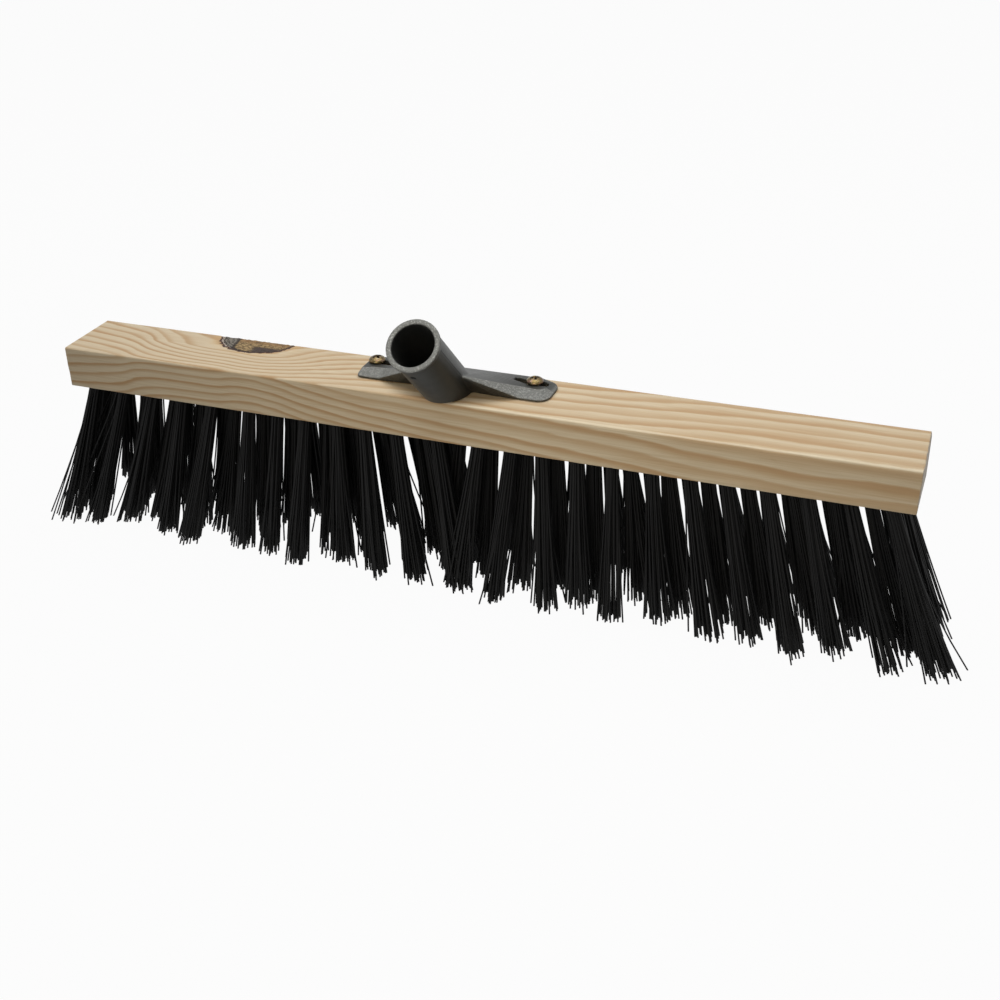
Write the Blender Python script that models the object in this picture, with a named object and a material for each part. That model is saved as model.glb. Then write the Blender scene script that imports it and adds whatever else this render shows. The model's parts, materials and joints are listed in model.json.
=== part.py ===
"""Push broom head: a pine block, banks of stiff bristle tufts, a cast socket claw and two screws.

Metres, +Z up. The head stands on its bristle tips, the block runs along X and the socket leans towards -Y.
"""

import math
import random

import bmesh
import bpy
from mathutils import Matrix, Vector

MM = 0.001

# Pine block
BLOCK_LENGTH = 500 * MM
BLOCK_WIDTH = 44.4 * MM
BLOCK_HEIGHT = 25 * MM
BLOCK_EASE = 0.8 * MM

# Gaps between pieces that touch, and between a screw and its holes
SEAT_GAP = 0.3 * MM
PILOT_CLEARANCE = 0.3 * MM

# Tufted layer of the block, cut into one slice for each station.
# The stagger is the share of a station by which a row's tuft stands off the station's middle.
BACKING_DEPTH = 6 * MM
BACKING_SIDE_WALL = 2.6 * MM
BACKING_END_WALL = 1.9 * MM
STATIONS_PER_HALF = 12
TUFT_ROWS = 4
ROW_MARGIN = 5.25 * MM
ROW_STAGGER = 0.25

# Bristle tufts: one strand down the middle and four round it, which open out below the block
BRISTLE_LENGTH = 95 * MM
STRAND_RADIUS = 1.1 * MM
STRAND_SIDES = 3
STRAND_SINK = 1.5 * MM
OUTER_STRANDS = 4
TUFT_ROOT_RADIUS = 2.6 * MM
TUFT_TIP_RADIUS = 5.5 * MM
LEAST_OPENING_SHARE = 0.75
TIP_RAGGEDNESS = 10 * MM
TIP_FLAT = 0.5 * MM
END_LEAN = math.radians(18.5)
INNER_LEAN = math.radians(10)
UPRIGHT_MIDDLE = 40 * MM
OUTER_ROW_LEAN = math.radians(9.5)
BRISTLE_SEED = 7

# Claw socket: a round tube that leans forward, with a drafted bore
CLAW_X = -5.5 * MM
SOCKET_FOOT_Y = -4.1 * MM
SOCKET_TILT = math.radians(45)
SOCKET_LENGTH = 62 * MM
SOCKET_WALL = 2.6 * MM
SOCKET_RIM_EASE = 0.5 * MM
SOCKET_SIDES = 48
BORE_MOUTH_DIAMETER = 24 * MM
BORE_SEAT_DIAMETER = 22.7 * MM
STRAP_PROUD = 0.5 * MM
STRAP_SETBACK = 3 * MM

# Claw ears: flat pads on the block that twist up into wings at the socket's sides
EAR_BACK_Y = 16.7 * MM
EAR_FRONT_Y = -6.3 * MM
EAR_THICKNESS = 3 * MM
EAR_EDGE = 1.6 * MM
EAR_BACK_EASE = 0.5 * MM
LAND_FRONT_Y = 2.9 * MM
PAD_INSET = 8.6 * MM
WING_MEET = 20.5 * MM
WING_WALL = 1.6 * MM
WING_LIP = 1.4 * MM
LEAST_LAND_SHARE = 0.1
WING_STATIONS = 7
CORNER_STATIONS = 5
LAND_ARC_STEPS = 4
LEAST_STATION_STEP = 0.5 * MM

# How far each ear runs past the round end of its slot, and its corners. The left end is shorter and
# squarer, where the casting was trimmed.
RIGHT_EAR_PAST_SLOT = 9.7 * MM
RIGHT_EAR_BACK_CORNER = 9 * MM
RIGHT_EAR_FRONT_CORNER = 7 * MM
LEFT_EAR_PAST_SLOT = 8.6 * MM
LEFT_EAR_BACK_CORNER = 3 * MM
LEFT_EAR_FRONT_CORNER = 4.5 * MM

# Slots in the ears: how far the middle of a slot's outer end lies from the claw's middle, and how far a
# screw can be shifted from there. The left screw stands at that end, the right one a little way in.
SLOT_SPREAD = 50 * MM
SLOT_TRAVEL = 14 * MM
SLOT_CLEARANCE = 1.2 * MM
SLOT_ARC_STEPS = 8
RIGHT_SCREW_SHIFT = 3.8 * MM

# Screws
SCREW_SHANK_DIAMETER = 4.2 * MM
SCREW_HEAD_DIAMETER = 10 * MM
SCREW_HEAD_HEIGHT = 3 * MM
SCREW_HEAD_EDGE = 0.8 * MM
SCREW_TIP_COVER = 2.5 * MM
SCREW_POINT = 4 * MM
CROSS_SPAN = 5 * MM
CROSS_WIDTH = 1.1 * MM
CROSS_DEPTH = 1.3 * MM
SCREW_SIDES = 24
SCREW_CROWN_STEPS = 4
RIGHT_SCREW_TURN = math.radians(32)
LEFT_SCREW_TURN = math.radians(50)

# How far a cutter or a trimmed end runs past the face that it cuts
OVERCUT = 2 * MM

# Meshing: the angle from which an edge is drawn sharp, and the distance under which points are one
SHARP_ANGLE = math.radians(30)
MERGE_DISTANCE = 0.001 * MM

# Heights and places that follow from the sizes above
BLOCK_BOTTOM = BRISTLE_LENGTH
BLOCK_TOP = BLOCK_BOTTOM + BLOCK_HEIGHT
POCKET_HALF_LENGTH = BLOCK_LENGTH / 2 - BACKING_END_WALL
POCKET_HALF_WIDTH = BLOCK_WIDTH / 2 - BACKING_SIDE_WALL
STATION_PITCH = POCKET_HALF_LENGTH / STATIONS_PER_HALF
OUTER_ROW_Y = POCKET_HALF_WIDTH - ROW_MARGIN
SOCKET_RADIUS = BORE_MOUTH_DIAMETER / 2 + SOCKET_WALL
SOCKET_AXIS = Vector((0, -math.cos(SOCKET_TILT), math.sin(SOCKET_TILT)))
SOCKET_UP = Vector((0, math.sin(SOCKET_TILT), math.cos(SOCKET_TILT)))
SOCKET_FOOT = Vector((0, SOCKET_FOOT_Y, 0))
SOCKET_RUN_ON = -SOCKET_RADIUS / math.tan(SOCKET_TILT) - 2 * OVERCUT
SCREW_Y = (LAND_FRONT_Y + EAR_BACK_Y) / 2
LAND_END_RADIUS = SCREW_Y - LAND_FRONT_Y
SCREW_REACH = BLOCK_HEIGHT - BACKING_DEPTH - SCREW_TIP_COVER
PAD_START = SLOT_SPREAD - PAD_INSET

# The broom's two halves: which way each runs along X, its ear, and its screw's place and turn
SIDES = {"right": 1, "left": -1}
EARS = {
    "right": (RIGHT_EAR_PAST_SLOT, RIGHT_EAR_BACK_CORNER, RIGHT_EAR_FRONT_CORNER),
    "left": (LEFT_EAR_PAST_SLOT, LEFT_EAR_BACK_CORNER, LEFT_EAR_FRONT_CORNER),
}
SCREW_X = {
    "right": CLAW_X + SLOT_SPREAD - RIGHT_SCREW_SHIFT,
    "left": CLAW_X - SLOT_SPREAD,
}
SCREW_TURNS = {"right": RIGHT_SCREW_TURN, "left": LEFT_SCREW_TURN}


def make_material(name, colour, roughness, metallic=0.0):
    """A plain finish for one kind of piece."""
    material = bpy.data.materials.new(name)
    material.use_nodes = True
    shader = material.node_tree.nodes["Principled BSDF"]
    shader.inputs["Base Color"].default_value = (*colour, 1)
    shader.inputs["Roughness"].default_value = roughness
    shader.inputs["Metallic"].default_value = metallic
    return material


def add_object(name, bm, parent, location=(0, 0, 0), material=None):
    """A named object of a finished bmesh, or a hidden cutter where it has no material."""
    bmesh.ops.recalc_face_normals(bm, faces=bm.faces)
    mesh = bpy.data.meshes.new(name)
    bm.to_mesh(mesh)
    bm.free()
    obj = bpy.data.objects.new(name, mesh)
    obj.parent = parent
    obj.location = location
    bpy.context.scene.collection.objects.link(obj)
    if material:
        mesh.shade_smooth()
        mesh.set_sharp_from_angle(angle=SHARP_ANGLE)
        mesh.materials.append(material)
    else:
        obj.hide_render = True
        obj.display_type = "WIRE"
    return obj


def add_boolean(obj, other, operation):
    """Joins another object to this one, or cuts it away."""
    modifier = obj.modifiers.new(other.name, "BOOLEAN")
    modifier.operation = operation
    modifier.object = other


def box_mesh(low, high):
    """A closed box between two corners."""
    bm = bmesh.new()
    bmesh.ops.create_cube(bm, size=1)
    low, high = Vector(low), Vector(high)
    bmesh.ops.scale(bm, vec=high - low, verts=bm.verts)
    bmesh.ops.translate(bm, vec=(low + high) / 2, verts=bm.verts)
    return bm


def loft_mesh(sections):
    """A closed solid through sections that each have as many points."""
    bm = bmesh.new()
    rings = [[bm.verts.new(point) for point in section] for section in sections]
    for ring, following in zip(rings, rings[1:]):
        for i in range(len(ring)):
            j = (i + 1) % len(ring)
            bm.faces.new((ring[i], ring[j], following[j], following[i]))
    bm.faces.new(rings[0])
    bm.faces.new(rings[-1])
    bmesh.ops.triangulate(bm, faces=bm.faces)
    return bm


def turned_mesh(profile, sides):
    """A solid turned about Z from (radius, height) points that start and end on the axis."""
    bm = bmesh.new()
    verts = [bm.verts.new((radius, 0, height)) for radius, height in profile]
    edges = [bm.edges.new(pair) for pair in zip(verts, verts[1:])]
    bmesh.ops.spin(
        bm, geom=verts + edges, cent=(0, 0, 0), axis=(0, 0, 1), angle=math.tau, steps=sides, use_merge=True
    )
    bmesh.ops.remove_doubles(bm, verts=bm.verts, dist=MERGE_DISTANCE)
    return bm


def lean_along_socket(bm):
    """Turns a shape that stands on Z so that it stands on the socket's axis, at the socket's foot."""
    turn = Vector((0, 0, 1)).rotation_difference(SOCKET_AXIS).to_matrix()
    bmesh.ops.rotate(bm, cent=(0, 0, 0), matrix=turn, verts=bm.verts)
    bmesh.ops.translate(bm, vec=SOCKET_FOOT, verts=bm.verts)
    return bm


def make_block(root, material):
    """The pine bar, with a pocket below for the tufted slices and pilot holes for the screws."""
    half = Vector((BLOCK_LENGTH / 2, BLOCK_WIDTH / 2, 0))
    bm = box_mesh(-half + Vector((0, 0, BLOCK_BOTTOM)), half + Vector((0, 0, BLOCK_TOP)))
    bmesh.ops.bevel(
        bm, geom=bm.edges[:], offset=BLOCK_EASE, segments=2, profile=0.5, affect="EDGES", clamp_overlap=True
    )
    block = add_object("block", bm, root, material=material)
    pocket = box_mesh(
        (-POCKET_HALF_LENGTH, -POCKET_HALF_WIDTH, BLOCK_BOTTOM - OVERCUT),
        (POCKET_HALF_LENGTH, POCKET_HALF_WIDTH, BLOCK_BOTTOM + BACKING_DEPTH),
    )
    add_boolean(block, add_object("pocket_cutter", pocket, root), "DIFFERENCE")
    radius = SCREW_SHANK_DIAMETER / 2 + PILOT_CLEARANCE
    bottom = -SCREW_REACH - PILOT_CLEARANCE
    profile = [(0, OVERCUT), (radius, OVERCUT), (radius, bottom), (0, bottom)]
    for side_name, x in SCREW_X.items():
        pilot = turned_mesh(profile, SCREW_SIDES)
        place = (x, SCREW_Y, BLOCK_TOP)
        add_boolean(block, add_object(f"pilot_cutter_{side_name}", pilot, root, place), "DIFFERENCE")


def lean_outwards(x):
    """How far a tuft leans along X, away from the middle of the block, at distance x from it."""
    fan = INNER_LEAN + END_LEAN
    lean = fan * x / POCKET_HALF_LENGTH - INNER_LEAN
    upright_share = math.exp(-((x / UPRIGHT_MIDDLE) ** 2))
    return lean * (1 - upright_share)


def strand_sections(root_point, tip_point, turn):
    """A strand's two ends, as level outlines of the same size."""
    outline = []
    for i in range(STRAND_SIDES):
        angle = turn + math.tau * i / STRAND_SIDES
        outline.append(Vector((math.cos(angle), math.sin(angle), 0)) * STRAND_RADIUS)
    return [[end + corner for corner in outline] for end in (root_point, tip_point)]


def tuft_strands(centre, lean_x, lean_y, rng):
    """The ends of one tuft's strands: one down the middle, which reaches the floor, and those round it."""
    strands = []
    fall = BRISTLE_LENGTH + STRAND_SINK
    spokes = [None] + [math.tau * (i + 0.5) / OUTER_STRANDS for i in range(OUTER_STRANDS)]
    for spoke in spokes:
        length = fall + TIP_FLAT
        root_offset = tip_offset = Vector((0, 0, 0))
        if spoke is not None:
            length -= rng.random() * TIP_RAGGEDNESS
            away = Vector((math.cos(spoke), math.sin(spoke), 0))
            root_offset = away * TUFT_ROOT_RADIUS
            tip_offset = away * TUFT_TIP_RADIUS * rng.uniform(LEAST_OPENING_SHARE, 1)
        drop = min(length, fall)
        slope = Vector((math.tan(lean_x), math.tan(lean_y), -1))
        opening = (tip_offset - root_offset) * drop / fall
        tip = centre + root_offset + opening + slope * drop
        strands.append(strand_sections(centre + root_offset, tip, rng.random() * math.tau))
    return strands


def make_bank(root, material, side_name, side, station, rng):
    """One station of the tufted layer: its slice of the block with a zigzag of tufts fused to it."""
    inner = station * STATION_PITCH + SEAT_GAP / 2
    outer = (station + 1) * STATION_PITCH - SEAT_GAP / 2
    if station == STATIONS_PER_HALF - 1:
        outer = POCKET_HALF_LENGTH - SEAT_GAP
    low_x, high_x = sorted((side * inner, side * outer))
    half_width = POCKET_HALF_WIDTH - SEAT_GAP
    top = BLOCK_BOTTOM + BACKING_DEPTH - SEAT_GAP
    bm = box_mesh((low_x, -half_width, BLOCK_BOTTOM), (high_x, half_width, top))
    name = f"tuft_bank_{side_name}_{station + 1:02d}"
    bank = add_object(name, bm, root, material=material)
    strands = bmesh.new()
    for row in range(TUFT_ROWS):
        across = 1 - 2 * row / (TUFT_ROWS - 1)
        stagger = -ROW_STAGGER if row % 2 else ROW_STAGGER
        x = (station + 0.5 + stagger) * STATION_PITCH
        centre = Vector((side * x, -across * OUTER_ROW_Y, BLOCK_BOTTOM + STRAND_SINK))
        leans = side * lean_outwards(x), -across * OUTER_ROW_LEAN
        for sections in tuft_strands(centre, *leans, rng):
            strand = loft_mesh(sections)
            bmesh.ops.recalc_face_normals(strand, faces=strand.faces)
            mesh = bpy.data.meshes.new("strand")
            strand.to_mesh(mesh)
            strand.free()
            strands.from_mesh(mesh)
            bpy.data.meshes.remove(mesh)
    add_boolean(bank, add_object(f"{name}_strands", strands, root), "UNION")


def make_bristles(root, material):
    """Every bank of tufts, outwards from the middle of the block on both sides."""
    rng = random.Random(BRISTLE_SEED)
    for side_name, side in SIDES.items():
        for station in range(STATIONS_PER_HALF):
            make_bank(root, material, side_name, side, station, rng)


def corner_inset(x, reach, radius):
    """How far a rounded corner at an ear's end has drawn its edge in at x."""
    along = x - (reach - radius)
    if along <= 0:
        return 0.0
    return radius - math.sqrt(max(radius**2 - along**2, 0))


def ear_section(x, reach, back_corner, front_corner):
    """The ear's outline across Y and Z at distance x from the claw's middle, from its bottom back corner."""
    rise = min(max((PAD_START - x) / (PAD_START - SOCKET_RADIUS), 0), 1)
    meet = SOCKET_FOOT + SOCKET_AXIS * WING_MEET
    back = EAR_BACK_Y - corner_inset(x, reach, back_corner)
    front = EAR_FRONT_Y + corner_inset(x, reach, front_corner)
    past = max(x - SLOT_SPREAD, 0)
    to_tip = past / (reach - SLOT_SPREAD)
    land_middle = SCREW_Y + ((front + back) / 2 - SCREW_Y) * to_tip
    half_land = math.sqrt(max(LAND_END_RADIUS**2 - past**2, 0))
    half_land = max(half_land, LAND_END_RADIUS * LEAST_LAND_SHARE)
    land_back = min(land_middle + half_land, back - EAR_BACK_EASE)
    land_height = EAR_THICKNESS
    if past > LAND_END_RADIUS:
        land_height = EAR_EDGE + (EAR_THICKNESS - EAR_EDGE) * (1 - to_tip)
    back_height = EAR_THICKNESS - EAR_BACK_EASE
    back_height += (EAR_EDGE - back_height) * min(2 * to_tip, 1)
    flat = [
        Vector((x, back, 0)),
        Vector((x, back, back_height)),
        Vector((x, land_back, land_height)),
        Vector((x, land_middle - half_land, land_height)),
        Vector((x, front, EAR_EDGE)),
        Vector((x, front, 0)),
    ]
    crease = Vector((x, *meet.yz)) + SOCKET_UP * WING_LIP / 2
    lip = crease + Vector((0, -WING_LIP, -WING_LIP))
    raised = [*flat[:3], crease, lip, lip - Vector((0, 0, WING_WALL))]
    return [low.lerp(high, rise) for low, high in zip(flat, raised)]


def ear_stations(reach, corner):
    """Distances from the claw's middle at which an ear's outline is taken, out to its tip."""
    step = (PAD_START - SOCKET_RADIUS) / (WING_STATIONS - 1)
    wing = [SOCKET_RADIUS + step * i for i in range(WING_STATIONS)]
    turns = [math.pi / 2 * i / LAND_ARC_STEPS for i in range(LAND_ARC_STEPS + 1)]
    land = [SLOT_SPREAD + LAND_END_RADIUS * math.sin(turn) for turn in turns]
    turns = [math.pi / 2 * i / CORNER_STATIONS for i in range(CORNER_STATIONS)]
    tip = [reach - corner + corner * math.sin(turn) for turn in turns]
    stations = []
    for x in sorted(wing + land + tip):
        clear_of_last = not stations or x - stations[-1] > LEAST_STATION_STEP
        if clear_of_last and reach - x > LEAST_STATION_STEP:
            stations.append(x)
    return [*stations, reach]


def ears_mesh():
    """Both ears and the plate between them, lofted from the left tip to the right one."""
    sections = []
    for side_name in ("left", "right"):
        side = SIDES[side_name]
        past_slot, back_corner, front_corner = EARS[side_name]
        reach = SLOT_SPREAD + past_slot
        halves = []
        for x in ear_stations(reach, max(back_corner, front_corner)):
            points = ear_section(x, reach, back_corner, front_corner)
            halves.append([Vector((side * point.x, point.y, point.z)) for point in points])
        sections += halves[::side]
    return loft_mesh(sections)


def socket_mesh():
    """The outside of the socket, with an eased rim, running on below the block's top."""
    profile = [
        (0, SOCKET_LENGTH),
        (SOCKET_RADIUS - SOCKET_RIM_EASE, SOCKET_LENGTH),
        (SOCKET_RADIUS, SOCKET_LENGTH - SOCKET_RIM_EASE),
        (SOCKET_RADIUS, SOCKET_RUN_ON),
        (0, SOCKET_RUN_ON),
    ]
    return lean_along_socket(turned_mesh(profile, SOCKET_SIDES))


def strap_mesh():
    """The proud upper half of the socket's wall, which ends in a step along both sides."""
    radius = SOCKET_RADIUS + STRAP_PROUD
    foot = SOCKET_RUN_ON - OVERCUT
    side = Vector((1, 0, 0))
    turns = [math.pi * i / (SOCKET_SIDES // 2) for i in range(SOCKET_SIDES // 2 + 1)]
    half_round = [(side * math.cos(turn) + SOCKET_UP * math.sin(turn)) * radius for turn in turns]
    ends = [SOCKET_FOOT + SOCKET_AXIS * along for along in (foot, SOCKET_LENGTH - STRAP_SETBACK)]
    return loft_mesh([[end + corner for corner in half_round] for end in ends])


def bore_mesh():
    """The drafted bore: the handle's size down at the foot, wider at the mouth, with an eased edge there."""
    foot = SOCKET_RUN_ON - 2 * OVERCUT
    mouth, seat = BORE_MOUTH_DIAMETER / 2, BORE_SEAT_DIAMETER / 2
    profile = [
        (0, SOCKET_LENGTH + OVERCUT),
        (mouth + SOCKET_RIM_EASE + OVERCUT, SOCKET_LENGTH + OVERCUT),
        (mouth, SOCKET_LENGTH - SOCKET_RIM_EASE),
        (seat, 0),
        (seat, foot),
        (0, foot),
    ]
    return lean_along_socket(turned_mesh(profile, SOCKET_SIDES))


def slot_mesh(side):
    """A round-ended slot through one ear, along which the claw can be shifted on its screw."""
    radius = (SCREW_SHANK_DIAMETER + SLOT_CLEARANCE) / 2
    outline = []
    for centre, start in ((SLOT_SPREAD, -math.pi / 2), (SLOT_SPREAD - SLOT_TRAVEL, math.pi / 2)):
        for i in range(SLOT_ARC_STEPS + 1):
            turn = start + math.pi * i / SLOT_ARC_STEPS
            away = Vector((math.cos(turn), math.sin(turn), 0)) * radius
            outline.append(Vector((side * (centre + away.x), SCREW_Y + away.y, 0)))
    heights = (-2 * OVERCUT, EAR_THICKNESS + OVERCUT)
    return loft_mesh([[point + Vector((0, 0, height)) for point in outline] for height in heights])


def make_claw(root, material):
    """The cast claw: a leaning socket between two ears, standing on the block's top."""
    place = (CLAW_X, 0, BLOCK_TOP)
    claw = add_object("claw", socket_mesh(), root, place, material)
    add_boolean(claw, add_object("claw_strap", strap_mesh(), root, place), "UNION")
    add_boolean(claw, add_object("claw_ears", ears_mesh(), root, place), "UNION")
    add_boolean(claw, add_object("bore_cutter", bore_mesh(), root, place), "DIFFERENCE")
    reach = 2 * (SLOT_SPREAD + SOCKET_LENGTH)
    ground = box_mesh((-reach, -reach, -reach), (reach, reach, SEAT_GAP))
    add_boolean(claw, add_object("ground_cutter", ground, root, place), "DIFFERENCE")
    for side_name, side in SIDES.items():
        add_boolean(claw, add_object(f"slot_cutter_{side_name}", slot_mesh(side), root, place), "DIFFERENCE")


def cross_mesh():
    """A cross-shaped driver recess, standing on the top of a screw's head."""
    span, width = CROSS_SPAN / 2, CROSS_WIDTH / 2
    arm = [Vector((span, -width, 0)), Vector((span, width, 0)), Vector((width, width, 0))]
    outline = []
    for quarter in range(4):
        turn = Matrix.Rotation(math.pi / 2 * quarter, 3, "Z")
        outline += [turn @ corner for corner in arm]
    heights = (SCREW_HEAD_HEIGHT - CROSS_DEPTH, SCREW_HEAD_HEIGHT + OVERCUT)
    return loft_mesh([[point + Vector((0, 0, height)) for point in outline] for height in heights])


def screw_mesh():
    """A pan-head wood screw with its head's underside at the origin."""
    head, shank = SCREW_HEAD_DIAMETER / 2, SCREW_SHANK_DIAMETER / 2
    tip = -(EAR_THICKNESS + SEAT_GAP + SCREW_REACH)
    rise = SCREW_HEAD_HEIGHT - SCREW_HEAD_EDGE
    turns = [math.pi / 2 * i / SCREW_CROWN_STEPS for i in range(SCREW_CROWN_STEPS + 1)]
    crown = [(head * math.sin(turn), SCREW_HEAD_EDGE + rise * math.cos(turn)) for turn in turns]
    profile = crown + [(head, 0), (shank, 0), (shank, tip + SCREW_POINT), (0, tip)]
    return turned_mesh(profile, SCREW_SIDES)


def make_screws(root, material):
    """One screw through each ear's slot into the block."""
    for side_name, x in SCREW_X.items():
        place = (x, SCREW_Y, BLOCK_TOP + EAR_THICKNESS + SEAT_GAP)
        screw = add_object(f"screw_{side_name}", screw_mesh(), root, place, material)
        cross = add_object(f"cross_cutter_{side_name}", cross_mesh(), root, place)
        cross.rotation_euler.z = SCREW_TURNS[side_name]
        add_boolean(screw, cross, "DIFFERENCE")


def stand_at_origin(root):
    """Moves the whole head so that the middle of its box's floor is the origin."""
    bpy.context.view_layer.update()
    graph = bpy.context.evaluated_depsgraph_get()
    corners = []
    for obj in root.children:
        if not obj.hide_render:
            evaluated = obj.evaluated_get(graph)
            corners += [evaluated.matrix_world @ Vector(corner) for corner in evaluated.bound_box]
    low = Vector(min(corner[i] for corner in corners) for i in range(3))
    high = Vector(max(corner[i] for corner in corners) for i in range(3))
    root.location = -Vector(((low.x + high.x) / 2, (low.y + high.y) / 2, low.z))
    print("middle of the block, on the floor, in mm:", [round(value / MM, 3) for value in root.location])


def main():
    """Builds the head."""
    for obj in list(bpy.data.objects):
        bpy.data.objects.remove(obj)
    root = bpy.data.objects.new("broom_frame", None)
    bpy.context.scene.collection.objects.link(root)
    make_block(root, make_material("pine", (0.62, 0.49, 0.31), 0.6))
    make_bristles(root, make_material("bristle", (0.006, 0.006, 0.006), 0.45))
    make_claw(root, make_material("cast_aluminium", (0.11, 0.11, 0.105), 0.5, 0.8))
    make_screws(root, make_material("yellow_zinc", (0.5, 0.36, 0.16), 0.3, 1.0))
    stand_at_origin(root)


if __name__ == "__main__":
    main()
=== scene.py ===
"""Looks of a push broom head: pine block, bristle tufts, cast socket claw and two screws, in a plain studio.

Metres, +Z up. Sizes inside the classes are in millimetres from the middle of the block's top, and every mesh
is moved to its place in the frame as it is made.
"""

import json
import logging
import math
import random
from collections.abc import Callable, Sequence
from dataclasses import dataclass
from enum import Enum
from functools import cached_property

import bmesh
import bpy
from mathutils import Matrix, Vector, noise

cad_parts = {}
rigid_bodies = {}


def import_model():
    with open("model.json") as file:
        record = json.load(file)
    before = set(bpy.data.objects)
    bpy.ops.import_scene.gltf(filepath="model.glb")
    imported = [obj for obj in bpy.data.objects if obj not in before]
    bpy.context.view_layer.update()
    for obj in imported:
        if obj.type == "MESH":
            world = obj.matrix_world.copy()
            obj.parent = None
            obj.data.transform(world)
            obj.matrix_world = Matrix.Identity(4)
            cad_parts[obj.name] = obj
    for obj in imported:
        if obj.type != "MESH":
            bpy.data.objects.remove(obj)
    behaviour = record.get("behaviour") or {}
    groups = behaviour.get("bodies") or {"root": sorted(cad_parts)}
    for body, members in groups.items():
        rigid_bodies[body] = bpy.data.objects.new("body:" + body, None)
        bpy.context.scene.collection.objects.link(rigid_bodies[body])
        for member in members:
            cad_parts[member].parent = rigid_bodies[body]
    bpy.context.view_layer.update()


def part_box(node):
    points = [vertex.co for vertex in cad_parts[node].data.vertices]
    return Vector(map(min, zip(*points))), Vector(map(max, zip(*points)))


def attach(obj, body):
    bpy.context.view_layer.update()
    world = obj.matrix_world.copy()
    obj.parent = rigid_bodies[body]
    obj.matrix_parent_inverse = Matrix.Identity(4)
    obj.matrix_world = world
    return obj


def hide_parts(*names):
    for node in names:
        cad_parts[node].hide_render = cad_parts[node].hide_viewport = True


for leftover in list(bpy.data.objects):
    bpy.data.objects.remove(leftover)
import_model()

MM = 0.001
ROOT_BODY = "root"
LOG = logging.getLogger("broom")

GOLDEN_ANGLE = math.pi * (3 - math.sqrt(5))

BMesh = bmesh.types.BMesh
BMEdge = bmesh.types.BMEdge
BMVert = bmesh.types.BMVert
Material = bpy.types.Material
Mesh = bpy.types.Mesh
Triple = tuple[float, float, float]
Colour = Triple
Points = Sequence[tuple[float, float]]


class Side(Enum):
    """A half of the broom, with the way it runs along X."""

    RIGHT = 1
    LEFT = -1

    @property
    def word(self) -> str:
        """The half's name in node names."""
        return self.name.lower()


class Join(Enum):
    """How one closed shape changes another."""

    ADD = "UNION"
    CUT = "DIFFERENCE"


BLOCK_LOW, BLOCK_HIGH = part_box("block")
BLOCK_SIZE = (BLOCK_HIGH - BLOCK_LOW) / MM
TOP_MIDDLE = Vector((*((BLOCK_LOW + BLOCK_HIGH) / 2).xy, BLOCK_HIGH.z))
HALF_LENGTH, HALF_WIDTH, BLOCK_DEPTH = BLOCK_SIZE.x / 2, BLOCK_SIZE.y / 2, BLOCK_SIZE.z


def smooth_step(low: float, high: float, value: float) -> float:
    """Rises smoothly from 0 at low to 1 at high."""
    share = min(max((value - low) / (high - low), 0.0), 1.0)
    return share * share * (3 - 2 * share)


def quarter(steps: int) -> Points:
    """Points of a quarter turn of radius 1, from (1, 0) to (0, 1)."""
    turns = [math.pi / 2 * i / steps for i in range(steps + 1)]
    return [(math.cos(turn), math.sin(turn)) for turn in turns]


def into_frame(bm: BMesh) -> BMesh:
    """Turns millimetres from the middle of the block's top into metres in the frame.

    Args:
        bm: the mesh.

    Returns:
        The same mesh.
    """
    bmesh.ops.scale(bm, vec=(MM, MM, MM), verts=bm.verts)
    bmesh.ops.translate(bm, vec=TOP_MIDDLE, verts=bm.verts)
    return bm


def mesh_of(name: str, bm: BMesh) -> Mesh:
    """Turns a finished bmesh, which is freed, into a mesh.

    Args:
        name: the mesh's name.
        bm: the bmesh.

    Returns:
        The mesh.
    """
    mesh = bpy.data.meshes.new(name)
    bm.to_mesh(mesh)
    bm.free()
    return mesh


def add_piece(
    name: str, mesh: Mesh, finish: Material, stands_for: Sequence[str], sharp: float
) -> None:
    """Adds a finished piece that rides on the head.

    Args:
        name: the piece's name.
        mesh: its mesh, in its place in the frame.
        finish: its material.
        stands_for: the solid nodes that it replaces.
        sharp: the angle in degrees from which an edge is drawn sharp.
    """
    mesh.shade_smooth()
    mesh.set_sharp_from_angle(angle=math.radians(sharp))
    mesh.materials.clear()
    mesh.materials.append(finish)
    piece = bpy.data.objects.new(name, mesh)
    bpy.context.scene.collection.objects.link(piece)
    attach(piece, ROOT_BODY)
    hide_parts(*stands_for)
    LOG.info("%s: %d faces", name, len(mesh.polygons))


def extruded(bm: BMesh, edges: Sequence[BMEdge]) -> tuple[list[BMVert], list[BMEdge]]:
    """Grows a strip of faces from edges.

    Args:
        bm: the mesh.
        edges: the edges that the strip starts at.

    Returns:
        The strip's new points, which are still where the old ones are, and the edges of its far side.
    """
    grown = bmesh.ops.extrude_edge_only(bm, edges=edges)["geom"]
    verts = [item for item in grown if isinstance(item, BMVert)]
    members = set(verts)
    rim = [item for item in grown if isinstance(item, BMEdge) and set(item.verts) <= members]
    return verts, rim


def edges_of(items: Sequence[object], way: Callable) -> list[BMEdge]:
    """The edges that way finds for points or faces, each of them once and in order."""
    return list(dict.fromkeys(edge for item in items for edge in way(item)))


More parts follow.
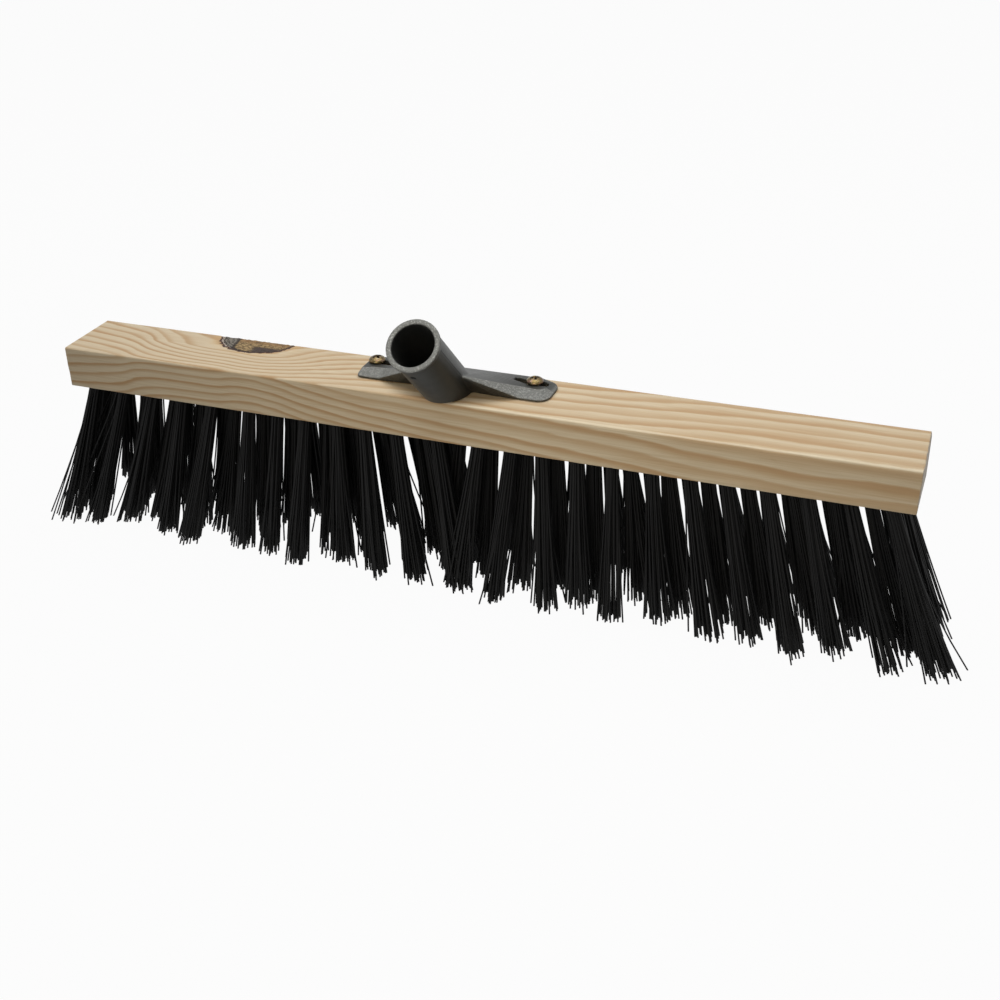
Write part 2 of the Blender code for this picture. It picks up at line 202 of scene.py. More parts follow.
def joined(
    body: BMesh,
    others: Sequence[tuple[Join, BMesh]],
    voxel: float = 0.0,
    soften: int = 0,
) -> Mesh:
    """Joins closed shapes to a body or cuts them out of it.

    Args:
        body: the shape to start from.
        others: the shapes that follow, in order, each with what it does.
        voxel: the grain of a new skin over the result, or 0 to keep its own.
        soften: how many times that skin is smoothed.

    Returns:
        The mesh of the result.
    """
    made = [bpy.data.objects.new("body", mesh_of("body", body))]
    for join, shape in others:
        other = bpy.data.objects.new("other", mesh_of("other", shape))
        modifier = made[0].modifiers.new("join", "BOOLEAN")
        modifier.operation = join.value
        modifier.solver = "MANIFOLD"
        modifier.object = other
        made.append(other)
    if voxel:
        skin = made[0].modifiers.new("skin", "REMESH")
        skin.mode = "VOXEL"
        skin.voxel_size = voxel
        soft = made[0].modifiers.new("soft", "SMOOTH")
        soft.iterations = soften
    for obj in made:
        bpy.context.scene.collection.objects.link(obj)
    bpy.context.view_layer.update()
    graph = bpy.context.evaluated_depsgraph_get()
    mesh = bpy.data.meshes.new_from_object(made[0].evaluated_get(graph))
    for obj in made:
        bpy.data.objects.remove(obj)
    return mesh


def loft(sections: Sequence[Sequence[Vector]]) -> BMesh:
    """A closed skin over outlines that each have as many points.

    Args:
        sections: the outlines, in order.

    Returns:
        The closed solid.
    """
    bm = bmesh.new()
    rings = []
    for section in sections:
        verts = [bm.verts.new(point) for point in section]
        rings.append([bm.edges.new((verts[i - 1], verts[i])) for i in range(len(verts))])
    for ring, following in zip(rings, rings[1:]):
        bmesh.ops.bridge_loops(bm, edges=ring + following)
    bmesh.ops.edgeloop_fill(bm, edges=rings[0])
    bmesh.ops.edgeloop_fill(bm, edges=rings[-1])
    bmesh.ops.triangulate(bm, faces=bm.faces)
    bmesh.ops.recalc_face_normals(bm, faces=bm.faces)
    return bm


def turned(profile: Points, sides: int, turn: float = math.tau) -> BMesh:
    """A solid turned about Z from (radius, height) points.

    Args:
        profile: points from the axis and back to it.
        sides: steps of the turn.
        turn: how far it goes round; less than a full turn is closed with flat sides.

    Returns:
        The closed solid.
    """
    bm = bmesh.new()
    verts = [bm.verts.new((radius, 0, height)) for radius, height in profile]
    edges = [bm.edges.new(pair) for pair in zip(verts, verts[1:])]
    full = turn >= math.tau
    bmesh.ops.spin(
        bm, geom=verts + edges, cent=(0, 0, 0), axis=(0, 0, 1), angle=turn, steps=sides, use_merge=full
    )
    bmesh.ops.remove_doubles(bm, verts=bm.verts, dist=1e-4)
    if not full:
        bmesh.ops.holes_fill(bm, edges=bm.edges)
    bmesh.ops.recalc_face_normals(bm, faces=bm.faces)
    return bm


def bar(low: Sequence[float], high: Sequence[float]) -> BMesh:
    """A closed box between two corners.

    Args:
        low: the corner of the least X, Y and Z.
        high: the corner of the most.

    Returns:
        The closed solid.
    """
    bm = bmesh.new()
    bmesh.ops.create_cube(bm, size=1)
    low, high = Vector(low), Vector(high)
    bmesh.ops.scale(bm, vec=high - low, verts=bm.verts)
    bmesh.ops.translate(bm, vec=(low + high) / 2, verts=bm.verts)
    return bm


def arithmetic(operation: str) -> Callable:
    """A method of Wire that puts a Math node between it and another value."""
    return lambda wire, other: wire.sheet.math(operation, wire, other)


class Wire:
    """One value among nodes, with arithmetic that adds Math nodes."""

    __add__ = arithmetic("ADD")
    __sub__ = arithmetic("SUBTRACT")
    __mul__ = arithmetic("MULTIPLY")
    __truediv__ = arithmetic("DIVIDE")
    __pow__ = arithmetic("POWER")

    def __init__(self, sheet: "Nodes", socket: bpy.types.NodeSocket) -> None:
        """Keeps the nodes that the value belongs to and the socket that it comes from."""
        self.sheet = sheet
        self.socket = socket

    def __rsub__(self, other: float) -> "Wire":
        """A number less this."""
        return self.sheet.math("SUBTRACT", other, self)

    def __abs__(self) -> "Wire":
        """This without its sign."""
        return self.of("ABSOLUTE")

    def of(self, operation: str) -> "Wire":
        """A Math node of one input, such as FRACT or FLOOR."""
        return self.sheet.math(operation, self, 0.0)

    def step(self, low: float, high: float) -> "Wire":
        """Rises smoothly from 0 at low to 1 at high, or falls where low is the larger."""
        return self.sheet.step(self, low, high)


class Nodes:
    """The nodes of a material or world, wired up step by step."""

    def __init__(self, owner: "Material | bpy.types.World") -> None:
        """Opens the nodes of a new material or world."""
        owner.use_nodes = True
        self.tree = owner.node_tree

    def plug(self, socket: bpy.types.NodeSocket, value: object) -> None:
        """Links a wire to a socket, or sets the socket to a plain value.

        Args:
            socket: a node's input.
            value: the wire or value, and three numbers for a colour.
        """
        if isinstance(value, Wire):
            self.tree.links.new(value.socket, socket)
        elif socket.type == "RGBA":
            socket.default_value = (*value, 1)
        else:
            socket.default_value = value

    def node(
        self, kind: str, plugs: dict[str | int, object], out: str | int = 0, **settings: object
    ) -> Wire:
        """Adds a node.

        Args:
            kind: the node's type, without its ShaderNode start.
            plugs: what goes into its inputs.
            out: the output that is taken.
            settings: the node's own settings.

        Returns:
            That output.
        """
        node = self.tree.nodes.new("ShaderNode" + kind)
        for key, value in settings.items():
            setattr(node, key, value)
        for key, value in plugs.items():
            self.plug(node.inputs[key], value)
        return Wire(self, node.outputs[out])

    def math(self, operation: str, first: "Wire | float", second: "Wire | float") -> Wire:
        """A Math node."""
        return self.node("Math", {0: first, 1: second}, operation=operation)

    def step(self, value: Wire, low: "Wire | float", high: "Wire | float") -> Wire:
        """A smooth rise from 0 to 1."""
        plugs = {"Value": value, "From Min": low, "From Max": high}
        return self.node("MapRange", plugs, interpolation_type="SMOOTHSTEP")

    def seen(self) -> Wire:
        """Tells the rays that are seen, straight from the camera or by way of a shiny or clear surface.

        Returns:
            1 for those rays and 0 for the others.
        """
        kinds = ("Camera", "Glossy", "Transmission")
        camera, glossy, clear = (self.node("LightPath", {}, out=f"Is {kind} Ray") for kind in kinds)
        return self.math("MAXIMUM", self.math("MAXIMUM", camera, glossy), clear)


class Sheet(Nodes):
    """A material of one Principled shader."""

    def __init__(self, name: str) -> None:
        """Starts the material.

        Args:
            name: the material's name.
        """
        self.material = bpy.data.materials.new(name)
        super().__init__(self.material)
        self.shader = self.tree.nodes["Principled BSDF"]

    @cached_property
    def spot(self) -> tuple[Wire, Wire, Wire]:
        """A point's place in millimetres from the middle of the block's top.

        Returns:
            Its X, Y and Z.
        """
        place = self.node("TexCoord", {}, out="Object")
        place = self.node("VectorMath", {0: place, 1: tuple(TOP_MIDDLE)}, operation="SUBTRACT")
        place = self.node("VectorMath", {0: place, "Scale": 1 / MM}, operation="SCALE")
        return self.split(place)

    def split(self, vector: Wire) -> tuple[Wire, Wire, Wire]:
        """A vector's X, Y and Z."""
        outputs = self.node("SeparateXYZ", {0: vector}).socket.node.outputs
        return tuple(Wire(self, output) for output in outputs)

    def cells(self, size: "float | Triple") -> dict[str, object]:
        """Lays a texture out in cells.

        Args:
            size: the size of a cell in millimetres, or its sizes along X, Y and Z.

        Returns:
            The texture's vector and scale.
        """
        sizes = size if isinstance(size, tuple) else (size, size, size)
        place = {axis: spot / cell for axis, (spot, cell) in enumerate(zip(self.spot, sizes))}
        return {"Vector": self.node("CombineXYZ", place), "Scale": 1.0}

    def noise(self, size: "float | Triple", detail: float = 2.0, roughness: float = 0.5) -> Wire:
        """Soft noise from 0 to 1, in cells of a size in millimetres."""
        plugs = {**self.cells(size), "Detail": detail, "Roughness": roughness}
        return self.node("TexNoise", plugs, out="Fac")

    def curve(self, value: Wire, points: Points) -> Wire:
        """A curve through (position, height) points, both from 0 to 1.

        Args:
            value: the position.
            points: the points, from left to right.

        Returns:
            The height at that position.
        """
        made = self.node("FloatCurve", {"Value": value})
        mapping = made.socket.node.mapping
        line = mapping.curves[0]
        line.points[0].location = points[0]
        line.points[1].location = points[-1]
        for point in points[1:-1]:
            line.points.new(*point)
        mapping.update()
        return made

    def mix(self, share: "Wire | float", first: "Wire | Colour", second: "Wire | Colour") -> Wire:
        """One colour fading into another."""
        return self.node("Mix", {0: share, 6: first, 7: second}, out=2, data_type="RGBA")

    def attribute(self, name: str) -> Wire:
        """A number kept on the piece's own points."""
        return self.node("Attribute", {}, out="Fac", attribute_name=name)

    def bump(self, height: Wire, distance: float) -> None:
        """Raises the surface by a height in shares of a distance in millimetres."""
        plugs = {"Height": height, "Distance": distance * MM, "Strength": 1.0}
        self.plug(self.shader.inputs["Normal"], self.node("Bump", plugs))

    def dress(self, **inputs: object) -> Material:
        """Sets the shader's inputs.

        Args:
            inputs: what goes into each, named with _ for each space.

        Returns:
            The finished material.
        """
        for name, value in inputs.items():
            self.plug(self.shader.inputs[name.replace("_", " ")], value)
        return self.material


@dataclass(frozen=True)
class Knot:
    """A dead branch cut through at the block's top back edge, alike on the top and on the back."""

    x: float = -141.8
    half_length: float = 25.6
    reach: float = 18.4
    sink: float = 0.1
    roughness: float = 0.3
    groove: float = 0.1

    def radius(self, x: float, y: float, z: float) -> float:
        """How far a point lies from the branch's middle.

        Args:
            x: the point's place along the block.
            y: its place across the block.
            z: its height.

        Returns:
            The distance, where 1 is the bark.
        """
        along = (x - self.x) / self.half_length
        across = (y - HALF_WIDTH + z) / self.reach
        return math.hypot(along, across)

    def depth(self, x: float, y: float, z: float) -> float:
        """How far the broken face of the knot lies below the planed wood at a point.

        Args:
            x: the point's place along the block.
            y: its place across the block.
            z: its height.

        Returns:
            The depth.
        """
        ragged = noise.noise(Vector((x, y, z)) / 3) * 0.08
        radius = self.radius(x, y, z) + ragged
        inside = 1 - smooth_step(0.95, 1.02, radius)
        rough = noise.fractal(Vector((x / 3.5, y / 1.6, z / 1.6)), 0.8, 2.0, 3)
        rim = smooth_step(0.8, 0.9, radius) * inside
        return inside * (self.sink + self.roughness * rough) + rim * self.groove


@dataclass(frozen=True)
class KnotFinish:
    """Dead branch wood: a brown core, grey and arched at its left, in a ring of bark."""

    halo: Colour = (0.6, 0.36, 0.12)
    core: Colour = (0.45, 0.32, 0.155)
    core_dark: Colour = (0.075, 0.042, 0.018)
    core_back: Colour = (0.25, 0.135, 0.055)
    grey: Colour = (0.2, 0.18, 0.15)
    grey_dark: Colour = (0.03, 0.024, 0.02)
    gap: Colour = (0.028, 0.02, 0.015)
    gloom: Colour = (0.042, 0.028, 0.023)
    crack: Colour = (0.02, 0.012, 0.008)
    bark: Colour = (0.016, 0.011, 0.009)
    crescent: Colour = (0.36, 0.31, 0.26)
    rind: Colour = (0.045, 0.016, 0.01)

    def over(self, sheet: Sheet, knot: Knot, wood: Wire) -> tuple[Wire, Wire]:
        """Puts the knot into the wood.

        Args:
            sheet: the material.
            knot: the knot's place and size.
            wood: the colour of the wood round it.

        Returns:
            The colour, and a mask of the knot.
        """
        x, y, z = sheet.spot
        along = (x - knot.x) / knot.half_length
        across = (y + z - HALF_WIDTH) / knot.reach
        ragged = (sheet.noise(4) - 0.5) * 0.2 + (sheet.noise(1.1) - 0.5) * 0.12
        radius = (along * along + across * across).of("SQRT") + ragged
        inside = radius.step(1.0, 0.975)
        halo = radius.step(1.35, 1.0) * sheet.noise(9).step(0.3, 0.7)
        wood = sheet.mix(halo * 0.3, wood, self.halo)
        grain = sheet.noise((2.2, 0.9, 0.9), 5, 0.75)
        core = sheet.mix(grain.step(0.36, 0.62), self.core_dark, self.core)
        core = sheet.mix(across.step(-0.4, -0.15) * 0.6, core, self.core_back)
        arcs = (radius * 9.0 + grain * 0.8).of("FRACT").step(0.05, 0.6)
        grey = sheet.mix(arcs, self.grey_dark, self.grey)
        leftward = (grain - 0.5) * 0.12 - along - (across + 1.0) * 0.12
        core = sheet.mix(leftward.step(0.3, 0.35), core, self.gap)
        core = sheet.mix(leftward.step(0.37, 0.42), core, grey)
        gloom = ((grain - 0.5) * 0.7 - across).step(0.42, 0.54)
        gloom = gloom * along.step(0.0, 0.2) * along.step(0.85, 0.65)
        core = sheet.mix(gloom, core, self.gloom)
        cracks = sheet.node("TexVoronoi", sheet.cells((6, 2.6, 2.6)), feature="DISTANCE_TO_EDGE")
        core = sheet.mix(cracks.step(0.05, 0.015) * 0.7, core, self.crack)
        thin = along.step(-0.5, 0.3) * 0.06
        bark = sheet.mix((radius - thin).step(0.81, 0.84), core, self.bark)
        crescent = radius.step(0.855, 0.875) * along.step(-0.35, -0.6)
        bark = sheet.mix(crescent, bark, self.crescent)
        bark = sheet.mix(radius.step(0.9, 0.925), bark, self.rind)
        return sheet.mix(inside, wood, bark), inside


@dataclass(frozen=True)
class PineFinish:
    """Planed softwood, with growth rings that bend round a knot."""

    early: Colour = (0.66, 0.56, 0.4)
    late: Colour = (0.43, 0.255, 0.115)
    tan: Colour = (0.56, 0.425, 0.265)
    # Painted highlight colour for the eased top front edge.
    painted_edge_highlight: Colour = (0.85, 0.77, 0.6)
    fibre: Colour = (0.36, 0.23, 0.11)
    fleck: Colour = (0.3, 0.17, 0.07)
    end_grain: Colour = (0.48, 0.45, 0.39)
    fewest_rings: float = 17.0
    corner_scale: float = 5.0
    corner: Points = (
        (0.0, 0.54), (0.072, 0.4), (0.118, 0.23), (0.165, 0.21), (0.206, 0.2), (0.244, 0.135),
        (0.274, 0.19), (0.334, 0.38), (0.456, 0.6), (0.667, 0.66), (0.8, 0.8), (1.0, 0.84),
    )
    rate_scale: float = 0.25
    top_rate: Points = ((0.0, 0.56), (0.334, 0.58), (0.5, 0.5), (0.67, 0.43), (1.0, 0.42))
    front_rate: Points = ((0.0, 0.72), (0.2, 0.68), (0.334, 0.77), (0.5, 0.69), (0.67, 0.51), (1.0, 0.46))
    pinch_half: float = 52.0
    pinch_share: float = 0.72
    pinch_middle: float = -147.0
    pinch_reach: float = 27.0
    spread_share: float = 0.7

    def material(self, knot: Knot) -> Material:
        """Wires the wood.

        Args:
            knot: the knot that the rings go round.

        Returns:
            The material.
        """
        sheet = Sheet("planed_pine")
        rings = self.rings(sheet)
        share = self.along(sheet)
        ring = rings.of("FRACT")
        start = 0.4 - share * share * 0.24
        late = sheet.step(ring, start, 0.82) * ring.step(1.0, 0.86)
        strength = sheet.node("TexWhiteNoise", {"W": rings.of("FLOOR")}, noise_dimensions="1D")
        late = late * (strength * 0.45 + 0.6)
        fibre = sheet.noise((34, 0.55, 0.55), 3, 0.6)
        fleck = sheet.noise((7, 0.3, 0.3), 1).step(0.66, 0.74)
        drift = sheet.noise((110, 22, 22))
        body = ring.step(0.0, 0.5) * (share * 0.45 + 0.15)
        wood = sheet.mix(drift.step(0.35, 0.75) * 0.3 + body, self.early, self.tan)
        wood = sheet.mix(late * (0.9 - share * 0.15), wood, self.late)
        wood = sheet.mix((fibre - 0.5) * 0.9 + 0.16, wood, self.fibre)
        wood = sheet.mix(fleck * 0.22, wood, self.fleck)
        # Painted highlight along the eased top front edge.
        wood = self.with_painted_edge_highlight(sheet, wood)
        wood = self.with_end_grain(sheet, wood)
        wood, inside = KnotFinish().over(sheet, knot, wood)
        height = fibre * 0.5 + late * 0.35
        height = height + inside * sheet.noise((1.6, 0.7, 0.7), 4, 0.7) * 3
        sheet.bump(height, 0.12)
        rough = fibre * 0.22 + 0.46 + inside * 0.2
        return sheet.dress(Base_Color=wood, Roughness=rough, Specular_IOR_Level=0.35)

    @staticmethod
    def along(sheet: Sheet) -> Wire:
        """How far along the block a point lies, from 0 at its left end to 1 at its right end."""
        return (sheet.spot[0] + HALF_LENGTH) / (2 * HALF_LENGTH)

    def rings(self, sheet: Sheet) -> Wire:
        """The count of growth rings at a point, which grows towards the block's top front edge.

        Args:
            sheet: the material.

        Returns:
            The ring count, with its part of a ring as the fraction.
        """
        x, y, z = sheet.spot
        share = self.along(sheet)
        pinch = (abs(x - self.pinch_middle) / self.pinch_half) ** 3
        pinch = (pinch * -1.0).of("EXPONENT")
        top_rate = sheet.curve(share, self.top_rate) * self.rate_scale
        front_rate = sheet.curve(share, self.front_rate) * self.rate_scale
        count = sheet.curve(share, self.corner) * self.corner_scale + self.fewest_rings
        across = y + HALF_WIDTH
        near = sheet.math("MINIMUM", across, self.pinch_reach)
        far = (across - near) * (1.0 - pinch * self.spread_share)
        count = count - (near * (pinch * self.pinch_share + 1.0) + far) * top_rate
        count = count + z * (pinch * 0.2 + 1.0) * front_rate
        wander = sheet.noise((60, 10, 10))
        waver = sheet.noise((14, 2.5, 2.5))
        return count + (wander - 0.5) * 0.7 + (waver - 0.5) * 0.14

    def with_painted_edge_highlight(self, sheet: Sheet, wood: Wire) -> Wire:
        """Paints a highlight on the eased top front edge to the right of the claw, where its rounding faces
        between up and front.

        Args:
            sheet: the material.
            wood: the colour so far.

        Returns:
            The new colour.
        """
        _, across, rise = sheet.split(sheet.node("NewGeometry", {}, out="Normal"))
        # Painted highlight where the edge's normal lies between up and front.
        slope = (across * rise * -1.0).step(0.36, 0.5)
        return sheet.mix(slope * sheet.spot[0].step(-25, 10) * 0.5, wood, self.painted_edge_highlight)

    def with_end_grain(self, sheet: Sheet, wood: Wire) -> Wire:
        """Darkens the sawn ends, where the fibres are cut across.

        Args:
            sheet: the material.
            wood: the colour so far.

        Returns:
            The new colour.
        """
        along, _, _ = sheet.split(sheet.node("NewGeometry", {}, out="Normal"))
        ends = abs(along).step(0.6, 0.9)
        pores = sheet.noise((1e6, 0.5, 0.5), 3, 0.7)
        return sheet.mix(ends * (pores * 0.5 + 0.45), wood, self.end_grain)


@dataclass(frozen=True)
class BristleFinish:
    """Stiff black filament, a little lighter where it is scuffed."""

    dark: Colour = (0.003, 0.003, 0.0031)
    light: Colour = (0.008, 0.008, 0.008)

    def material(self) -> Material:
        """Wires the filament from the tone that each strand has on its points.

        Returns:
            The material.
        """
        sheet = Sheet("black_filament")
        tone = sheet.attribute("tone")
        scuff = sheet.noise((1.5, 1.5, 9)).step(0.45, 0.8)
        colour = sheet.mix(tone ** 2.0 * 0.8 + scuff * 0.2, self.dark, self.light)
        sheet.bump(scuff, 0.03)
        return sheet.dress(Base_Color=colour, Roughness=tone * 0.15 + 0.5, Specular_IOR_Level=0.15)


@dataclass(frozen=True)
class CastFinish:
    """Tumbled cast aluminium: a dull grey skin, with bright sandy grain where the mould left it rough,
    painted highlights and glints on that grain, and painted shade in its hollows.
    """

    skin: Colour = (0.05, 0.051, 0.047)
    # Light grey of the sandy grain, also used for painted highlights.
    grit_and_highlight: Colour = (0.205, 0.205, 0.19)
    # Near-black colour of the painted shade.
    painted_shade: Colour = (0.016, 0.016, 0.016)
    mottle: Colour = (0.04, 0.042, 0.04)
    # Colour of the painted glints.
    painted_glint: Colour = (0.45, 0.45, 0.43)

    def material(self) -> Material:
        """Wires the metal from the gritty grain, with its painted highlights, and the painted shade kept on
        the claw's points.

        Returns:
            The material.
        """
        sheet = Sheet("cast_aluminium_skin")
        # The gritty grain with its painted highlights, and the painted shade, as kept on the claw's points.
        grit_and_highlight, painted_shade = sheet.attribute("grit_and_highlight"), sheet.attribute("painted_shade")
        mottle = sheet.noise(6, 3)
        sand = sheet.noise(0.45, 3, 0.7)
        # Cells for the painted glints.
        glint_cells = sheet.node("TexVoronoi", sheet.cells(0.5), out="Color")
        painted_glint = sheet.node("SeparateColor", {0: glint_cells}).step(0.72, 0.95)
        colour = sheet.mix(mottle * 0.5, self.skin, self.mottle)
        # Sandy grain, partly real and partly painted highlight.
        colour = sheet.mix(grit_and_highlight * (sand * 0.9 + 0.2), colour, self.grit_and_highlight)
        # Painted glints on the gritty grain.
        colour = sheet.mix(grit_and_highlight * painted_glint * 0.45, colour, self.painted_glint)
        # Painted shade over everything else.
        colour = sheet.mix(painted_shade, colour, self.painted_shade)
        sheet.bump(sand * (grit_and_highlight * 1.2 + 0.3), 0.22)
        rough = grit_and_highlight * 0.12 + mottle * 0.12 + 0.4
        # Where the painted shade lies, the skin also loses its metal sheen.
        unshaded = 1.0 - painted_shade
        return sheet.dress(
            Base_Color=colour, Metallic=unshaded * 0.85, Roughness=rough, Specular_IOR_Level=unshaded * 0.5
        )


@dataclass(frozen=True)
class ZincFinish:
    """Yellow passivated zinc, which turns pink and green with the thickness of its film, with dark
    reflections painted in as patches and painted shade in its cross recess.
    """

    gold: Colour = (0.15, 0.11, 0.045)
    pink: Colour = (0.17, 0.1, 0.075)
    pale: Colour = (0.26, 0.225, 0.155)
    # Dark patches painted in as reflections of dark surroundings.
    painted_dark_reflection: Colour = (0.05, 0.036, 0.017)
    # Painted shade colour for the cross recess.
    painted_shade: Colour = (0.012, 0.009, 0.006)

    def material(self) -> Material:
        """Wires the plating.

        Returns:
            The material.
        """
        sheet = Sheet("yellow_zinc_plate")
        film = sheet.noise(3)
        stain = sheet.noise(0.9, 3)
        colour = sheet.mix(film.step(0.48, 0.68), self.gold, self.pink)
        colour = sheet.mix(stain.step(0.5, 0.75), colour, self.pale)
        # Painted dark reflections, in patches.
        painted_dark_reflection = sheet.noise(1.7, 2, 0.6).step(0.5, 0.62)
        colour = sheet.mix(painted_dark_reflection * 0.5, colour, self.painted_dark_reflection)
        # Painted shade in the cross recess.
        colour = sheet.mix(sheet.attribute("painted_shade"), colour, self.painted_shade)
        sheet.bump(stain, 0.04)
        return sheet.dress(Base_Color=colour, Metallic=1.0, Roughness=stain * 0.2 + 0.14)


@dataclass
class PineBlock:
    """The planed bar, with eased edges, a dead knot at its top back edge and the tufts' holes below."""

    knot: Knot = Knot()
    edge_segments: int = 4
    back_ease: float = 0.9
    low_ease: float = 0.7
    left_ease: float = 1.0
    right_ease: float = 2.0
    ease_change: tuple[float, float] = (-90.0, 60.0)
    wear: float = 0.3
    wear_length: float = 17.0
    end_ease: float = 0.35
    saw_marks: float = 0.35
    out_of_square: float = 2.0
    foot_out: float = 0.9
    cell: float = 2.0
    knot_cuts: int = 3
    cut_zone: float = 1.25
    broken_zone: float = 1.2
    hole_radius: float = 4.5
    hole_depth: float = 7.0
    hole_sides: int = 14
    chip: float = 0.35
    chip_length: float = 4.0
    chip_level: float = 0.25

    def front_ease(self, x: float) -> float:
        """How far the top front edge is rounded at x, which the plane did more of to the right."""
        share = smooth_step(*self.ease_change, x)
        return self.left_ease + (self.right_ease - self.left_ease) * share

    def corner(self, x: float, y_way: int, z_way: int) -> list[Vector]:
        """The rounded corner of the section at x, in order from its upright side.

        Args:
            x: the section's place.
            y_way: 1 for the back, -1 for the front.
            z_way: 1 for the top, -1 for the underside.

        Returns:
            The corner's points.
        """
        ease = self.low_ease
        if z_way > 0:
            ease = self.front_ease(x) if y_way < 0 else self.back_ease
        ease *= 1 + self.wear * noise.noise(Vector((x / self.wear_length, 5 * y_way, 3 * z_way)))
        level = 0 if z_way > 0 else -BLOCK_DEPTH
        middle = Vector((x, y_way * (HALF_WIDTH - ease), level - z_way * ease))
        arc = quarter(self.edge_segments)
        return [middle + Vector((0, y_way * out, z_way * up)) * ease for out, up in arc]

    def section(self, x: float) -> list[Vector]:
        """The open outline at x, from the underside's front edge over the top to its back edge.

        Args:
            x: the section's place.

        Returns:
            The outline's points.
        """
        low_front = self.corner(x, -1, -1)[::-1]
        chipping = noise.noise(Vector((x / self.chip_length, 1.7, 0))) - self.chip_level
        chipping = max(chipping, 0) * self.chip
        for point in low_front[:2]:
            point.z += chipping
        corners = [low_front, self.corner(x, -1, 1), self.corner(x, 1, 1)[::-1], self.corner(x, 1, -1)]
        outline = list(corners[0])
        for corner in corners[1:]:
            start, end = outline[-1], corner[0]
            steps = max(round((end - start).length / self.cell), 1)
            outline += [start.lerp(end, i / steps) for i in range(1, steps)]
            outline += corner
        return outline

    def bar_skin(self) -> BMesh:
        """The bar's top and sides, with its ends closed and its underside open.

        Returns:
            The open skin.
        """
        bm = bmesh.new()
        reach = HALF_LENGTH - self.end_ease
        steps = round(2 * reach / self.cell)
        verts = [bm.verts.new(point) for point in self.section(-reach)]
        edges = [bm.edges.new(pair) for pair in zip(verts, verts[1:])]
        step = Vector((2 * reach / steps, 0, 0))
        bmesh.ops.spin(
            bm, geom=verts + edges, cent=(0, 0, 0), axis=(1, 0, 0), dvec=step, angle=0, steps=steps
        )
        bm.verts.ensure_lookup_table()
        columns: dict[int, list[BMVert]] = {}
        for vert in bm.verts:
            columns.setdefault(round((vert.co.x + reach) / step.x), []).append(vert)
        for column in columns.values():
            for vert, point in zip(column, self.section(column[0].co.x)):
                vert.co.yz = point.yz
        for vert in columns[steps]:
            front, high = 0.5 - vert.co.y / (2 * HALF_WIDTH), 1 + vert.co.z / BLOCK_DEPTH
            vert.co.x += (self.out_of_square * high + self.foot_out * (1 - high)) * front
        for way, index in ((-1, 0), (1, steps)):
            self.close_end(bm, columns[index], way)
        return bm

    def drawn_in(self, away: float) -> float:
        """How far the easing of an end moves a point that lies away from the end's middle."""
        return math.copysign(min(self.end_ease, abs(away)), away)

    def close_end(self, bm: BMesh, column: list[BMVert], way: int) -> None:
        """Eases and closes one end.

        Args:
            bm: the bar.
            column: the points of the bar's last section.
            way: -1 for the left end, 1 for the right one.
        """
        members = set(column)
        verts, rim = extruded(bm, [edge for edge in bm.edges if set(edge.verts) <= members])
        for vert in verts:
            saw = noise.noise(Vector((10 * way, vert.co.y / 3, vert.co.z / 3)))
            vert.co.x += way * (self.end_ease + self.saw_marks * saw)
            vert.co.y -= self.drawn_in(vert.co.y)
            if vert.co.z >= self.low_ease - BLOCK_DEPTH:
                vert.co.z -= self.drawn_in(vert.co.z + BLOCK_DEPTH / 2)
        ends = [vert for vert in verts if sum(edge in rim for edge in vert.link_edges) == 1]
        rim.append(bm.edges.new(ends))
        bmesh.ops.edgeloop_fill(bm, edges=rim)

    def underside(self, bm: BMesh, holes: Points) -> None:
        """Closes the bar below, with a drilled hole for each tuft.

        Args:
            bm: the bar's skin.
            holes: the holes' middles.
        """
        outline = [edge for edge in bm.edges if edge.is_boundary]
        rims = []
        for x, y in holes:
            place = Matrix.Translation((x, y, -BLOCK_DEPTH))
            ring = bmesh.ops.create_circle(
                bm, segments=self.hole_sides, radius=self.hole_radius, matrix=place
            )
            rims += edges_of(ring["verts"], lambda vert: vert.link_edges)
        bmesh.ops.triangle_fill(bm, edges=outline + rims, use_beauty=True, normal=(0, 0, -1))
        verts, floors = extruded(bm, rims)
        bmesh.ops.translate(bm, vec=(0, 0, self.hole_depth), verts=verts)
        bmesh.ops.edgeloop_fill(bm, edges=floors)

    def break_knot(self, bm: BMesh) -> None:
        """Refines the wood round the knot and breaks its face.

        Args:
            bm: the bar.
        """
        near = [face for face in bm.faces if len(face.verts) == 4 and max(face.normal.yz) > 0.5]
        near = [face for face in near if self.knot.radius(*face.calc_center_median()) < self.cut_zone]
        edges = edges_of(near, lambda face: face.edges)
        bmesh.ops.subdivide_edges(bm, edges=edges, cuts=self.knot_cuts, use_grid_fill=True)
        bm.normal_update()
        moves = []
        for vert in bm.verts:
            if max(vert.normal.yz) > 0.3 and self.knot.radius(*vert.co) < self.broken_zone:
                moves.append((vert, vert.normal * self.knot.depth(*vert.co)))
        for vert, move in moves:
            vert.co -= move

    def build(self, finish: PineFinish, holes: Points) -> None:
        """Models and dresses the bar.

        Args:
            finish: the wood.
            holes: the middles of the tufts' holes.
        """
        bm = self.bar_skin()
        self.underside(bm, holes)
        bmesh.ops.recalc_face_normals(bm, faces=bm.faces)
        self.break_knot(bm)
        mesh = mesh_of("pine_bar", into_frame(bm))
        add_piece("pine_bar", mesh, finish.material(self.knot), ["block"], 40)


@dataclass(frozen=True)
class Tuft:
    """One bundle of filament: the bank that it belongs to, its root and the way that it leans."""

    side: Side
    bank: int
    root: Vector
    lean: Vector


